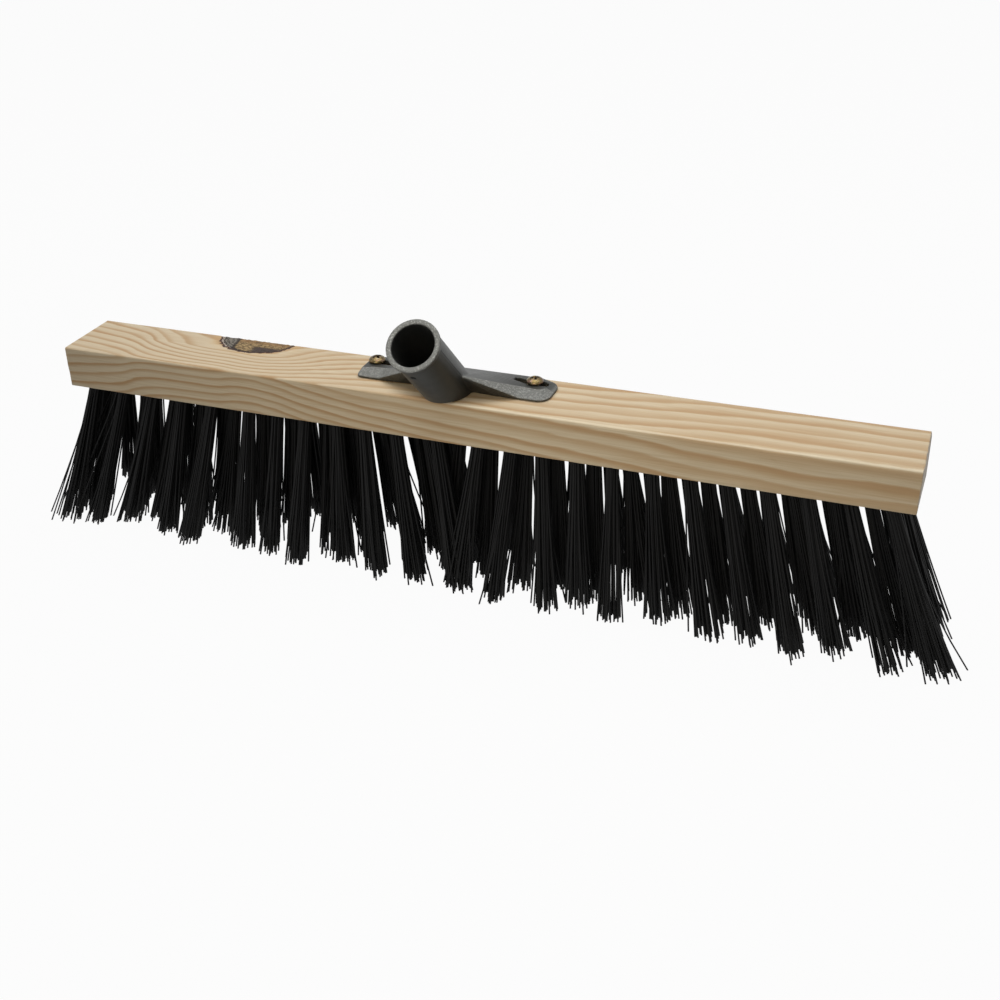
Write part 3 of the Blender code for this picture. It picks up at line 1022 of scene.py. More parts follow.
@dataclass
class TuftField:
    """Four staggered rows of tufts, which fan out from the middle of each half."""

    banks: int = 12
    row_places: tuple[float, ...] = (-14.35, -4.78, 4.78, 14.35)
    last_place: float = 11.45
    wide_chinks: tuple[float, ...] = (
        -13.0, -1.45, 0.4, 1.35, 3.22, 4.7, 5.22, 6.25, 7.76, 8.8, 9.8, 10.85, 13.0,
    )
    widest_chinks: tuple[float, ...] = (-10.11, -9.14)
    thin_chinks: tuple[float, ...] = (
        -8.15, -6.15, -5.22, -4.15, -2.45, 2.3, 3.71, 4.2, 5.74, 6.77, 7.25, 8.27,
    )
    wide_half: float = 1.1
    widest_half: float = 2.5
    thin_half: float = 0.45
    chink_drop: float = 2.0
    end_wall: float = 1.9
    end_leans: tuple[float, float] = (17.5, 22.5)
    most_leans: tuple[float, float] = (17.0, 17.0)
    inner_leans: tuple[float, float] = (9.0, 11.5)
    fan_power: float = 0.8
    row_lean: float = 7.0
    back_lean: float = 1.3
    lean_scatter: float = 1.5
    strands: int = 50
    strand_radius: float = 0.5
    strand_sides: int = 5
    strand_rings: int = 6
    root_radius: float = 3.4
    root_sink: float = 6.0
    opening: tuple[float, float] = (1.7, 2.7)
    opening_power: float = 1.25
    length: float = 95.0
    tuft_raggedness: float = 4.5
    strand_raggedness: float = 2.8
    turn_scatter: float = 0.3
    bow: float = 1.1
    lean_bow: float = 7.2
    swing: float = 1.2
    swing_across: float = 0.6
    stray_share: float = 0.07
    stray_swing: float = 5.0
    stray_lengths: tuple[float, float] = (-9.0, 4.0)
    end_swing: float = 11.0
    end_zone: float = 40.0
    floor_gap: float = 0.05
    seed: int = 11

    @property
    def pitch(self) -> float:
        """The distance between tufts in a row."""
        return (HALF_LENGTH - self.end_wall) / self.banks

    def tufts(self, eye: Vector) -> list[Tuft]:
        """Every tuft, bank by bank.

        Args:
            eye: where the chinks between the tufts are seen from.

        Returns:
            The tufts.
        """
        rng = random.Random(self.seed)
        made = []
        for side in Side:
            for bank in range(self.banks):
                for row, y in enumerate(self.row_places):
                    for place in self.places(side, bank, row):
                        made.append(self.tuft(side, bank + 1, side.value * place * self.pitch, y, rng))
        self.open_chinks(made, eye)
        return made

    def places(self, side: Side, bank: int, row: int) -> list[float]:
        """Where a bank's tufts of one row stand, in pitches from the middle.

        Args:
            side: the bank's half.
            bank: its number, from 0 in the middle.
            row: the row, from 0 at the front.

        Returns:
            The places: every other row is staggered, and starts at the middle of the head.
        """
        if row % 2 == 0:
            return [bank + 0.5]
        if side is Side.LEFT:
            return [min(bank + 1, self.last_place)]
        last = bank == self.banks - 1
        return [bank, self.last_place] if last else [bank]

    def sight(self, tuft: Tuft, eye: Vector) -> tuple[float, float, float]:
        """Where a tuft is met by a line of sight that passes just below the block's front edge.

        The line goes on down, and meets a tuft the lower the further back it stands.

        Args:
            tuft: the tuft.
            eye: where it is seen from.

        Returns:
            The tuft's middle and half its width there, both as seen in the front row, and how much larger
            they are in its own row.
        """
        slope = (eye.z + BLOCK_DEPTH) / (-HALF_WIDTH - eye.y)
        drop = self.chink_drop + (tuft.root.y + HALF_WIDTH) * slope
        met = tuft.root + tuft.lean * drop
        depth = (met.y - eye.y) / (self.row_places[0] - eye.y)
        opened = 1 + (sum(self.opening) / 2 - 1) * (drop / self.length) ** self.opening_power
        half = self.root_radius * opened + self.strand_radius
        return eye.x + (met.x - eye.x) / depth, half / depth, depth

    def open_chinks(self, tufts: Sequence[Tuft], eye: Vector) -> None:
        """Moves tufts along their rows so that light shows through the chinks, and the chinks are no wider.

        Args:
            tufts: the tufts, in their regular places.
            eye: where the chinks are seen from.
        """
        sorts = (
            (self.wide_half, self.wide_chinks),
            (self.widest_half, self.widest_chinks),
            (self.thin_half, self.thin_chinks),
        )
        chinks = sorted((place * self.pitch, half) for half, places in sorts for place in places)
        for tuft in tufts:
            seen, half, depth = self.sight(tuft, eye)
            stops = []
            for (low, low_half), (high, high_half) in zip(chinks, chinks[1:]):
                first, last = low + low_half + half, high - high_half - half
                stops.append(min(max(seen, first), last) if first < last else (first + last) / 2)
            nearest = min(stops, key=lambda place: abs(place - seen))
            tuft.root.x += (nearest - seen) * depth
        for place, chink_half in chinks[1:-1]:
            for way in (-1, 1):
                gaps = []
                for index, tuft in enumerate(tufts):
                    seen, half, depth = self.sight(tuft, eye)
                    gap = (seen - place) * way - half - chink_half
                    if gap > -half:
                        gaps.append((gap, index, depth))
                gap, index, depth = min(gaps)
                tufts[index].root.x -= way * max(gap, 0) * depth

    def tuft(self, side: Side, bank: int, x: float, y: float, rng: random.Random) -> Tuft:
        """One tuft.

        Args:
            side: its half.
            bank: its bank's number, from the middle outwards.
            x: its place along the block.
            y: its row.
            rng: the source of scatter.

        Returns:
            The tuft.
        """
        half = 0 if side is Side.RIGHT else 1
        inner = self.inner_leans[half]
        fan = self.end_leans[half] + inner
        outward = fan * (abs(x) / (HALF_LENGTH - self.end_wall)) ** self.fan_power - inner
        outward = min(outward, self.most_leans[half])
        across = self.row_lean * y / max(self.row_places) + self.back_lean
        lean_x = math.radians(side.value * outward + rng.gauss(0, self.lean_scatter))
        lean_y = math.radians(across + rng.gauss(0, self.lean_scatter))
        lean = Vector((math.tan(lean_x), math.tan(lean_y), -1))
        return Tuft(side, bank, Vector((x, y, -BLOCK_DEPTH)), lean)

    def strand_blank(self) -> Mesh:
        """A straight filament of radius 1 that falls from 0 to 1 along Z, with closed ends.

        Returns:
            The filament, with a tone on its points.
        """
        bm = bmesh.new()
        ring = bmesh.ops.create_circle(bm, segments=self.strand_sides, radius=1, cap_ends=True)
        edges = edges_of(ring["verts"], lambda vert: vert.link_edges)
        for _ in range(self.strand_rings):
            verts, edges = extruded(bm, edges)
            bmesh.ops.translate(bm, vec=(0, 0, 1 / self.strand_rings), verts=verts)
        bmesh.ops.edgeloop_fill(bm, edges=edges)
        bm.verts.layers.float.new("tone")
        return mesh_of("strand", bm)

    def path(self, tuft: Tuft, index: int, opening: float, fall: float, rng: random.Random) -> Callable:
        """The way that one filament takes.

        Args:
            tuft: its tuft.
            index: its number in the tuft.
            opening: how much wider the tuft is at its tips.
            fall: how far it drops below the block.
            rng: the source of scatter.

        Returns:
            A function from 0 at the root to 1 at the tip, to a point.
        """
        turn = index * GOLDEN_ANGLE + rng.uniform(-self.turn_scatter, self.turn_scatter)
        away = Vector((math.cos(turn), math.sin(turn), 0)) * self.root_radius
        away *= math.sqrt((index + 0.5) / self.strands)
        stray = rng.random() < self.stray_share
        swing = self.stray_swing if stray else self.swing
        swing = Vector((rng.gauss(0, swing), rng.gauss(0, swing) * self.swing_across, 0))
        splayed = stray and tuft.root.x < self.end_zone - HALF_LENGTH and tuft.root.y < 0
        if splayed:
            swing.x = -abs(swing.x) - self.end_swing
        bow = Vector((rng.gauss(0, self.bow), rng.gauss(0, self.bow), 0))
        bow.x += self.lean_bow * tuft.lean.x

        def point(share: float) -> Vector:
            """The filament's middle at a share of its way.

            Args:
                share: the share, from 0 at the root to 1 at the tip.

            Returns:
                The point.
            """
            drop = share * (fall + self.root_sink) - self.root_sink
            below = max(drop, 0) / fall
            spread = away * (1 + (opening - 1) * below**self.opening_power)
            sag = bow * (below * below - below)
            away_by = swing * (below if splayed else below * below)
            return tuft.root + spread + sag + away_by + tuft.lean * drop

        return point

    def add_strand(self, bm: BMesh, blank: Mesh, way: Callable, tone: float) -> None:
        """Adds one filament to a bank.

        Args:
            bm: the bank.
            blank: the straight filament.
            way: the way that it takes.
            tone: how light it is, from 0 to 1.
        """
        count = len(bm.verts)
        bm.from_mesh(blank)
        bm.verts.ensure_lookup_table()
        layer = bm.verts.layers.float["tone"]
        for vert in bm.verts[count:]:
            across = Vector((vert.co.x, vert.co.y, 0)) * self.strand_radius
            vert.co = way(vert.co.z) + across
            vert[layer] = tone

    def build(self, finish: BristleFinish, tufts: Sequence[Tuft]) -> None:
        """Models and dresses every bank.

        Args:
            finish: the filament.
            tufts: the tufts.
        """
        rng = random.Random(self.seed + 1)
        material = finish.material()
        blank = self.strand_blank()
        deepest = BLOCK_LOW.z / MM - self.floor_gap
        for side in Side:
            for bank in range(1, self.banks + 1):
                bm = bmesh.new()
                bm.from_mesh(blank)
                bmesh.ops.delete(bm, geom=bm.verts[:], context="VERTS")
                for tuft in tufts:
                    if tuft.side is side and tuft.bank == bank:
                        self.add_tuft(bm, blank, tuft, deepest, rng)
                bmesh.ops.recalc_face_normals(bm, faces=bm.faces)
                name = f"tufts_{side.word}_{bank:02d}"
                node = f"tuft_bank_{side.word}_{bank:02d}"
                add_piece(name, mesh_of(name, into_frame(bm)), material, [node], 50)
        bpy.data.meshes.remove(blank)

    def add_tuft(
        self, bm: BMesh, blank: Mesh, tuft: Tuft, deepest: float, rng: random.Random
    ) -> None:
        """Adds one tuft to a bank.

        Args:
            bm: the bank.
            blank: the straight filament.
            tuft: the tuft.
            deepest: the floor, as a drop below the block.
            rng: the source of scatter.
        """
        reach = self.length - rng.random() * self.tuft_raggedness
        opening = rng.uniform(*self.opening)
        for index in range(self.strands):
            long = reach - abs(rng.gauss(0, self.strand_raggedness))
            if rng.random() < self.stray_share:
                long += rng.uniform(*self.stray_lengths)
            fall = min(long, deepest)
            way = self.path(tuft, index, opening, fall, rng)
            self.add_strand(bm, blank, way, rng.random())


@dataclass(frozen=True)
class Ear:
    """One ear of the claw: how far it runs past its slot, how far its land stops short, and its corners."""

    past_slot: float
    land_short: float
    back_corner: float
    front_corner: float


@dataclass
class ClawCasting:
    """The cast claw: a leaning socket between two slotted ears that twist up into wings at its sides."""

    x: float = -5.5
    lift: float = 0.3
    tilt: float = math.radians(46.1)
    foot_shift: float = 0.9
    foot_y: float = -5.9
    length: float = 60.9
    radius: float = 14.9
    tube_radius: float = 13.6
    bead: float = 2.2
    bore_mouth: float = 11.75
    bore_seat: float = 11.35
    rim_round: float = 0.5
    rim_segments: int = 4
    rim_chamfer: float = 0.5
    strap_proud: float = 0.15
    strap_setback: float = 3.0
    strap_slope: float = 1.6
    cut_over: float = 3.0
    sides: int = 128
    ear_back: float = 17.4
    ear_front: float = -7.7
    thickness: float = 3.0
    edge: float = 1.6
    back_ease: float = 0.5
    land_front: float = 2.2
    slot_spread: float = 50.0
    slot_travel: float = 14.0
    slot_radius: float = 2.7
    slot_square: float = 4.5
    slot_segments: int = 12
    slot_over: float = 4.0
    pad_start: float = 41.4
    wing_meet: float = 20.5
    wing_rise: float = 1.2
    web_front: float = -6.3
    wing_lip: float = 0.5
    nick_along: float = 49.25
    nick_turn: float = math.radians(-0.5)
    nick_half: Vector = Vector((1.5, 1.0, 0.7))
    ground_half: float = 200.0
    stations: int = 30
    voxel: float = 0.48
    soften: int = 2
    right: Ear = Ear(8.3, 4.5, 9.0, 7.0)
    left: Ear = Ear(6.2, 0.0, 3.0, 3.2)

    @property
    def axis(self) -> Vector:
        """The way from the socket's foot to its mouth."""
        return Vector((0, -math.cos(self.tilt), math.sin(self.tilt)))

    @property
    def up(self) -> Vector:
        """The way from the socket's middle to its upper side."""
        return Vector((0, math.sin(self.tilt), math.cos(self.tilt)))

    @property
    def foot(self) -> Vector:
        """Where the socket's axis meets the block."""
        return Vector((self.x + self.foot_shift, self.foot_y, 0))

    @property
    def screw_y(self) -> float:
        """The line that the slots and screws lie on."""
        return (self.land_front + self.ear_back) / 2

    def ear(self, side: Side) -> Ear:
        """The ear of one side."""
        return self.right if side is Side.RIGHT else self.left

    @staticmethod
    def corner_inset(away: float, reach: float, corner: float) -> float:
        """How far a rounded corner at an ear's end has drawn its edge in.

        Args:
            away: the distance from the claw's middle.
            reach: the distance of the ear's end.
            corner: the corner's radius.

        Returns:
            The inset.
        """
        along = away - (reach - corner)
        if along <= 0:
            return 0.0
        return corner - math.sqrt(max(corner**2 - along**2, 0))

    def ear_section(self, away: float, ear: Ear) -> list[Vector]:
        """An ear's outline at a distance from the claw's middle.

        Args:
            away: the distance.
            ear: the ear.

        Returns:
            Six points from the bottom back corner over the land and the crease to the bottom front corner.
        """
        reach = self.slot_spread + ear.past_slot
        rise = min(max((self.pad_start - away) / (self.pad_start - self.radius), 0), 1)
        back = self.ear_back - self.corner_inset(away, reach, ear.back_corner)
        front = self.ear_front + self.corner_inset(away, reach, ear.front_corner)
        land_end = self.slot_spread - ear.land_short
        past = max(away - land_end, 0)
        to_tip = past / (reach - land_end)
        end_radius = self.screw_y - self.land_front
        land_middle = self.screw_y + ((front + back) / 2 - self.screw_y) * to_tip
        half_land = max(math.sqrt(max(end_radius**2 - past**2, 0)), 0.1 * end_radius)
        land_back = min(land_middle + half_land, back - self.back_ease)
        land_height = self.thickness
        if past > end_radius:
            land_height = self.edge + (self.thickness - self.edge) * (1 - to_tip)
        back_height = self.thickness - self.back_ease
        back_height += (self.edge - back_height) * min(2 * to_tip, 1)
        flat = [
            Vector((away, back, 0)),
            Vector((away, back, back_height)),
            Vector((away, land_back, land_height)),
            Vector((away, land_middle - half_land, land_height)),
            Vector((away, front, self.edge)),
            Vector((away, front, 0)),
        ]
        meet = Vector((0, self.foot_y, 0)) + self.axis * self.wing_meet
        crease = Vector((away, meet.y, meet.z)) + self.up * (self.wing_rise + self.wing_lip / 2)
        lip = crease + Vector((0, -self.wing_lip, -self.wing_lip))
        raised = [*flat[:3], crease, lip, Vector((away, self.web_front, 0))]
        return [low.lerp(high, rise) for low, high in zip(flat, raised)]

    def ears(self) -> BMesh:
        """Both ears and the plate between them.

        Returns:
            The closed solid.
        """
        sections = []
        for side in (Side.LEFT, Side.RIGHT):
            ear = self.ear(side)
            reach = self.slot_spread + ear.past_slot
            half = []
            for i in range(self.stations + 1):
                share = i / self.stations
                away = self.radius + (reach - self.radius) * math.sin(share * math.pi / 2)
                points = self.ear_section(away, ear)
                half.append([Vector((self.x + side.value * point.x, point.y, point.z)) for point in points])
            sections += half[:: side.value]
        return loft(sections)

    def leaned(self, bm: BMesh) -> BMesh:
        """Turns a shape that stands on Z so that it stands on the socket's axis.

        Args:
            bm: the shape.

        Returns:
            The same shape.
        """
        turn = Vector((0, 0, 1)).rotation_difference(self.axis).to_matrix()
        bmesh.ops.rotate(bm, cent=(0, 0, 0), matrix=turn, verts=bm.verts)
        bmesh.ops.translate(bm, vec=self.foot, verts=bm.verts)
        return bm

    def run_on(self, extra: float) -> float:
        """Where a shape of the socket ends on its axis, well below the block's top, where it is cut off."""
        return -self.radius / math.tan(self.tilt) - extra

    def socket(self) -> BMesh:
        """The socket's outside, with a rounded rim, running on below the block's top.

        Returns:
            The closed solid.
        """
        run_on = self.run_on(4)
        out, top = self.radius - self.rim_round, self.length - self.rim_round
        profile = [(0, self.length)]
        for rise, away in quarter(self.rim_segments):
            profile.append((out + self.rim_round * away, top + self.rim_round * rise))
        profile += [(self.radius, self.length - self.bead), (self.tube_radius, self.length - 2 * self.bead)]
        profile += [(self.tube_radius, run_on), (0, run_on)]
        return self.leaned(turned(profile, self.sides))

    def strap(self) -> BMesh:
        """The proud upper half of the socket's wall, which ends in a step along both sides.

        Returns:
            The closed solid.
        """
        run_on = self.run_on(5)
        proud = self.tube_radius + self.strap_proud
        top = self.length - self.strap_setback
        profile = [(0, top), (self.tube_radius, top), (proud, top - self.strap_slope)]
        profile += [(proud, run_on), (0, run_on)]
        return self.leaned(turned(profile, self.sides // 2, math.pi))

    def bore(self) -> BMesh:
        """The drafted bore, with a chamfer at its mouth.

        Returns:
            The solid that is cut out.
        """
        run_on = self.run_on(6)
        mouth = self.bore_mouth
        over = self.cut_over
        profile = [
            (0, self.length + over),
            (mouth + self.rim_chamfer + over, self.length + over),
            (mouth + self.rim_chamfer, self.length),
            (mouth, self.length - self.rim_chamfer * 1.4),
            (self.bore_seat, 0),
            (self.bore_seat, run_on),
            (0, run_on),
        ]
        return self.leaned(turned(profile, self.sides))

    def slot(self, side: Side) -> BMesh:
        """A slot through one ear, with ends between round and square.

        Args:
            side: the ear's side.

        Returns:
            The solid that is cut out.
        """
        outline = []
        ends = ((self.slot_spread, -math.pi / 2), (self.slot_spread - self.slot_travel, math.pi / 2))
        for middle, start in ends:
            for i in range(self.slot_segments + 1):
                turn = start + math.pi * i / self.slot_segments
                way = Vector((math.cos(turn), math.sin(turn)))
                square = [math.copysign(abs(part) ** (2 / self.slot_square), part) for part in way]
                away = middle + self.slot_radius * square[0]
                outline.append((self.x + side.value * away, self.screw_y + self.slot_radius * square[1]))
        levels = (-self.cut_over, self.thickness + self.slot_over)
        return loft([[Vector((*point, level)) for point in outline] for level in levels])

    @property
    def nick_out(self) -> Vector:
        """The way from the socket's axis to its nick."""
        return Vector((1, 0, 0)) * math.sin(self.nick_turn) - self.up * math.cos(self.nick_turn)

    @property
    def nick_place(self) -> Vector:
        """The nick's middle, on the socket's skin."""
        return self.foot + self.axis * self.nick_along + self.nick_out * self.tube_radius

    def nick(self) -> BMesh:
        """A small scar on the front of the socket, below its rim.

        Returns:
            The solid that is cut out.
        """
        bm = bar(-self.nick_half, self.nick_half)
        across = self.axis.cross(self.nick_out)
        turn = Matrix((across, self.axis, self.nick_out)).transposed()
        bmesh.ops.rotate(bm, cent=(0, 0, 0), matrix=turn, verts=bm.verts)
        bmesh.ops.translate(bm, vec=self.nick_place, verts=bm.verts)
        return bm

    def about_axis(self, point: Vector) -> tuple[float, Vector]:
        """Where a point lies about the socket's axis.

        Args:
            point: the point, in millimetres from the middle of the block's top.

        Returns:
            How far along the axis it lies, and the way to it from there.
        """
        from_foot = point - self.foot
        along = from_foot.dot(self.axis)
        return along, from_foot - self.axis * along

    def zones(self, mesh: Mesh) -> None:
        """Keeps on each point how gritty its skin is, with painted highlights, and how much painted shade it
        gets.

        Args:
            mesh: the claw's mesh, in its place in the frame.
        """
        grit_and_highlight = mesh.attributes.new("grit_and_highlight", "FLOAT", "POINT")
        painted_shade = mesh.attributes.new("painted_shade", "FLOAT", "POINT")
        for vert in mesh.vertices:
            point = (vert.co - TOP_MIDDLE) / MM
            grit_and_highlight.data[vert.index].value = self.grit_and_highlight_at(point, vert.normal)
            painted_shade.data[vert.index].value = self.painted_shade_at(point)

    def grit_and_highlight_at(self, point: Vector, normal: Vector) -> float:
        """How gritty the skin is: most on the rim and on the ears' sloping front margins, partly for their
        sandy grain and partly as painted light, with a painted highlight along the crease and less where the
        skin does not face up, as painted shade.

        Args:
            point: the point, in millimetres from the middle of the block's top.
            normal: the way that the skin faces there.

        Returns:
            From 0 for smooth and unlit to 1 for gritty and painted bright.
        """
        along, radial = self.about_axis(point)
        out = radial.length
        rim = smooth_step(self.length - 1.6, self.length - 0.4, along)
        if out < self.radius + 0.8 and abs(point.x - self.foot.x) < self.tube_radius + 0.4:
            return rim * smooth_step(self.bore_mouth - 0.2, self.bore_mouth + 0.5, out)
        side = Side.RIGHT if point.x > self.x else Side.LEFT
        ear = self.ear(side)
        away = min(max(abs(point.x - self.x), self.radius), self.slot_spread + ear.past_slot)
        section = self.ear_section(away, ear)
        # Margins: sandy grain, partly painted light.
        margin = 1 - smooth_step(section[3].y - 0.5, section[3].y + 0.2, point.y)
        # Painted highlight along the crease between the land and the margin.
        ridge = 1 - smooth_step(0.2, 0.9, abs(point.y - section[3].y))
        end = smooth_step(self.slot_spread + 5.5, self.slot_spread + 7.5, away) * 0.6
        # Faces that do not face up get less, as painted shade.
        return max(margin * 0.8, end, ridge) * (smooth_step(0.1, 0.4, normal.z) * 0.6 + 0.4)

    def painted_shade_at(self, point: Vector) -> float:
        """How much painted shade the skin gets: inside the bore, as a shadow line along the socket's side
        steps, and in the nick.

        Args:
            point: the point, in millimetres from the middle of the block's top.

        Returns:
            From 0 for unshaded to 1 for full painted shade.
        """
        along, radial = self.about_axis(point)
        # Painted shade inside the bore.
        bore = self.bore_mouth + 0.15
        inside = 1 - smooth_step(bore - 0.5, bore, radial.length)
        inside *= 1 - smooth_step(self.length - 0.9, self.length - 0.4, along)
        # Painted shadow line below the proud strap's step along each side.
        step = 1 - smooth_step(0.2, 0.7, abs(radial.dot(self.up) - self.wing_rise))
        step *= smooth_step(self.wing_meet, self.wing_meet + 2, along)
        step *= 1 - smooth_step(self.length - 4.5, self.length - 3, along)
        # Painted shade in the nick.
        scar = point - self.nick_place
        nick = 1 - smooth_step(1.4, 1.9, (scar - self.axis * scar.dot(self.axis)).length)
        nick *= 1 - smooth_step(1.1, 1.5, abs(scar.dot(self.axis)))
        return max(inside, step * 0.9 if radial.length > self.tube_radius - 0.4 else 0.0, nick)

    def build(self, finish: CastFinish) -> None:
        """Models and dresses the claw.

        Args:
            finish: the metal.
        """
        far = self.ground_half
        ground = bar((-far, -far, -far), (far, far, self.lift))
        shapes = [(Join.ADD, shape) for shape in (self.strap(), self.ears())]
        cuts = [self.bore(), ground, *(self.slot(side) for side in Side), self.nick()]
        shapes += [(Join.CUT, shape) for shape in cuts]
        shapes = [(join, into_frame(shape)) for join, shape in shapes]
        mesh = joined(into_frame(self.socket()), shapes, self.voxel * MM, self.soften)
        self.zones(mesh)
        add_piece("claw_casting", mesh, finish.material(), ["claw"], 60)


@dataclass
class Screw:
    """A pan-head wood screw with a cross recess."""

    side: Side
    turn: float
    shift: Vector = Vector((-1.2, 0.4, 0))
    head: float = 4.8
    height: float = 3.0
    rim: float = 0.7
    shank: float = 2.1
    thread: float = 0.7
    pitch: float = 1.8
    point: float = 4.0
    cross_span: float = 3.2
    cross_width: float = 0.8
    cross_depth: float = 1.8
    sides: int = 40
    dome_segments: int = 8
    chamfer: float = 0.3
    thread_base: float = 0.6
    thread_root: float = 0.2
    thread_steps: int = 16
    plain: float = 5.0

    def place(self) -> tuple[Vector, float]:
        """Finds where the screw sits, from its solid.

        Returns:
            The middle of the head's underside, and how far the screw reaches below it.
        """
        low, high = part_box(f"screw_{self.side.word}")
        low, high = (low - TOP_MIDDLE) / MM, (high - TOP_MIDDLE) / MM
        middle = (low + high) / 2
        under = high.z - self.height
        return Vector((middle.x, middle.y, under)) + self.shift, under - low.z

    def blank(self, reach: float) -> BMesh:
        """The head and the shank.

        Args:
            reach: how far the screw reaches below its head.

        Returns:
            The closed solid.
        """
        dome = self.height - self.rim
        profile = [(self.head * out, self.rim + dome * rise) for rise, out in quarter(self.dome_segments)]
        profile += [(self.head, self.chamfer), (self.head - self.chamfer, 0), (self.shank, 0)]
        profile += [(self.shank, self.point - reach), (0, -reach)]
        return turned(profile, self.sides)

    def cross(self) -> BMesh:
        """The driver's recess, which narrows downwards.

        Returns:
            The solid that is cut out.
        """
        sections = []
        for height, share in ((self.height - self.cross_depth, 0.45), (self.height + 1, 1.2)):
            span, width = self.cross_span * share, self.cross_width * (0.4 + 0.6 * share)
            outline = []
            for quarter in range(4):
                turn = Matrix.Rotation(math.pi / 2 * quarter + self.turn, 3, "Z")
                arm = ((span, -width), (span, width), (width, width))
                outline += [turn @ Vector((x, y, height)) for x, y in arm]
            sections.append(outline)
        return loft(sections)

    def thread_ridge(self, reach: float) -> BMesh:
        """The helical ridge along the shank.

        Args:
            reach: how far the screw reaches below its head.

        Returns:
            The closed solid.
        """
        bm = bmesh.new()
        start = self.point - reach
        root, crest = self.shank - self.thread_root, self.shank + self.thread
        corners = ((root, start), (crest, start + self.thread_base / 2), (root, start + self.thread_base))
        verts = [bm.verts.new((radius, 0, height)) for radius, height in corners]
        edges = [bm.edges.new((verts[i - 1], verts[i])) for i in range(3)]
        turns = (reach - self.point - self.plain) / self.pitch
        steps = round(turns * self.thread_steps)
        bmesh.ops.spin(
            bm,
            geom=verts + edges,
            cent=(0, 0, 0),
            axis=(0, 0, 1),
            dvec=(0, 0, turns * self.pitch / steps),
            angle=math.tau * turns,
            steps=steps,
        )
        bmesh.ops.holes_fill(bm, edges=bm.edges)
        bmesh.ops.recalc_face_normals(bm, faces=bm.faces)
        return bm

    def build(self, material: Material) -> None:
        """Models and dresses the screw.

        Args:
            material: the plating.
        """
        under, reach = self.place()
        mesh = joined(self.blank(reach), [(Join.CUT, self.cross()), (Join.ADD, self.thread_ridge(reach))])
        bm = bmesh.new()
        bm.from_mesh(mesh)
        # Painted shade in the cross recess, darker the deeper it lies.
        layer = bm.verts.layers.float.new("painted_shade")
        for vert in bm.verts:
            depth = self.height - 0.25 - vert.co.z
            deep = vert.co.xy.length < self.cross_span * 1.05 and vert.co.z > 0.5
            vert[layer] = smooth_step(0.2, 1.2, depth) if deep else 0.0
        bmesh.ops.translate(bm, vec=under, verts=bm.verts)
        name = f"screw_{self.side.word}_zinc"
        mesh = mesh_of(name, into_frame(bm))
        add_piece(name, mesh, material, [f"screw_{self.side.word}"], 35)


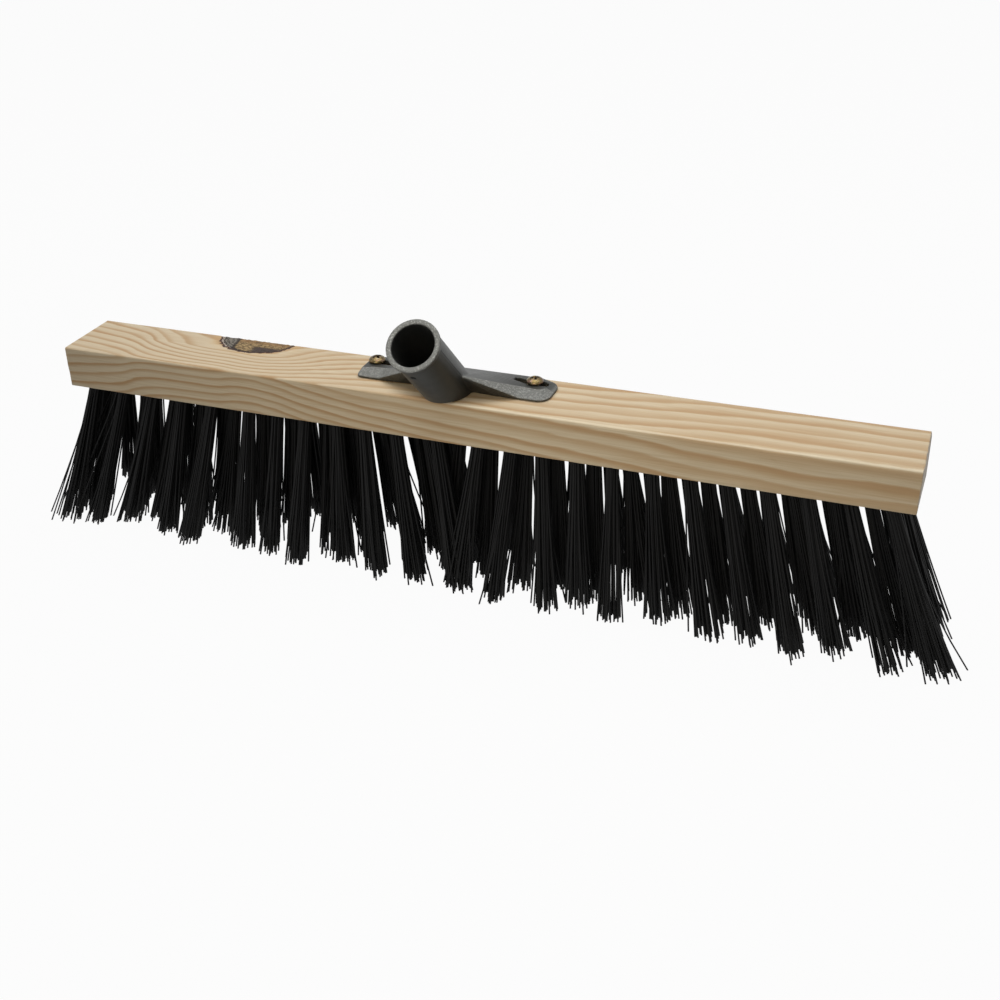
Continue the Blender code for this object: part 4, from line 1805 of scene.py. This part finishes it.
@dataclass
class Studio:
    """A pale floor, soft light from above and the camera, in metres from the middle of the block's top."""

    floor_half: float = 6.0
    floor_glow: float = 0.96
    floor_tone: float = 0.4
    sky: float = 0.12
    key_power: float = 14.3
    key_size: float = 1.3
    key_place: Vector = Vector((0.0, 0.1, 1.15))
    fill_power: float = 0.33
    fill_spread: float = math.radians(60)
    fill_size: float = 0.5
    fill_place: Vector = Vector((0.12, -0.6, 0.3))
    fill_aim: Vector = Vector((0.09, -0.02, -0.01))
    fill_tint: Colour = (1.0, 0.93, 0.78)
    lens: float = 52.1
    eye: Vector = Vector((0.30158, -0.66217, 0.34080))
    gaze: Vector = Vector((-0.33996, 0.79955, -0.49512))
    roll: float = math.radians(2.431)

    def floor(self) -> None:
        """The floor that the tips stand on, nearly white, with a faint shadow."""
        bm = bmesh.new()
        bmesh.ops.create_grid(bm, x_segments=8, y_segments=8, size=self.floor_half)
        mesh = mesh_of("floor", bm)
        sheet = Sheet("pale_floor")
        tone = (self.floor_tone, self.floor_tone, self.floor_tone)
        mesh.materials.append(sheet.dress(Base_Color=tone, Roughness=0.9, Specular_IOR_Level=0.1))
        lit, glow = Wire(sheet, sheet.shader.outputs[0]), sheet.node("Emission", {})
        mixed = sheet.node("MixShader", {0: sheet.seen() * self.floor_glow, 1: lit, 2: glow})
        sheet.plug(sheet.tree.nodes["Material Output"].inputs[0], mixed)
        floor = bpy.data.objects.new("floor", mesh)
        bpy.context.scene.collection.objects.link(floor)

    def world(self) -> None:
        """A soft grey sky that looks white to the camera."""
        world = bpy.data.worlds.new("studio")
        nodes = Nodes(world)
        background = nodes.tree.nodes["Background"].inputs
        nodes.plug(background["Color"], (1, 1, 1))
        level = nodes.node("MapRange", {"Value": nodes.seen(), "To Min": self.sky, "To Max": 1.0})
        nodes.plug(background["Strength"], level)
        bpy.context.scene.world = world

    @staticmethod
    def soft_box(name: str, power: float, size: float, place: Vector, aim: Vector) -> bpy.types.AreaLight:
        """Adds a square lamp.

        Args:
            name: the lamp's name.
            power: its power in watts.
            size: the length of its sides.
            place: its middle.
            aim: the point that it faces.

        Returns:
            The lamp's light.
        """
        light = bpy.data.lights.new(name, "AREA")
        light.energy = power
        light.size = size
        lamp = bpy.data.objects.new(name, light)
        lamp.location = TOP_MIDDLE + place
        lamp.rotation_euler = (place - aim).to_track_quat("Z", "Y").to_euler()
        bpy.context.scene.collection.objects.link(lamp)
        return light

    def lights(self) -> None:
        """One large soft box overhead, and a small warm one in front, with a grid that narrows its light."""
        self.soft_box("key", self.key_power, self.key_size, self.key_place, Vector())
        fill = self.soft_box("fill", self.fill_power, self.fill_size, self.fill_place, self.fill_aim)
        fill.color = self.fill_tint
        fill.spread = self.fill_spread

    def camera(self) -> None:
        """The camera at the photograph's viewing angle."""
        lens = bpy.data.cameras.new("camera")
        lens.lens = self.lens
        lens.sensor_width = 36
        camera = bpy.data.objects.new("camera", lens)
        gaze = self.gaze.normalized()
        level = gaze.cross(Vector((0, 0, 1))).normalized()
        rise = level.cross(gaze)
        right = level * math.cos(self.roll) - rise * math.sin(self.roll)
        up = level * math.sin(self.roll) + rise * math.cos(self.roll)
        turn = Matrix((right, up, -gaze)).transposed()
        camera.matrix_world = Matrix.Translation(TOP_MIDDLE + self.eye) @ turn.to_4x4()
        bpy.context.scene.collection.objects.link(camera)
        bpy.context.scene.camera = camera

    def build(self) -> None:
        """Sets up the floor, the light and the camera."""
        self.floor()
        self.world()
        self.lights()
        self.camera()
        bpy.context.scene.view_settings.view_transform = "Standard"


def main() -> None:
    """Builds the head and the studio."""
    logging.basicConfig(level=logging.INFO, format="%(message)s")
    Studio().build()
    field = TuftField()
    tufts = field.tufts(Studio.eye / MM)
    PineBlock().build(PineFinish(), [(tuft.root.x, tuft.root.y) for tuft in tufts])
    ClawCasting().build(CastFinish())
    zinc = ZincFinish().material()
    Screw(Side.RIGHT, math.radians(32)).build(zinc)
    Screw(Side.LEFT, math.radians(50)).build(zinc)
    field.build(BristleFinish(), tufts)


if __name__ == "__main__":
    main()
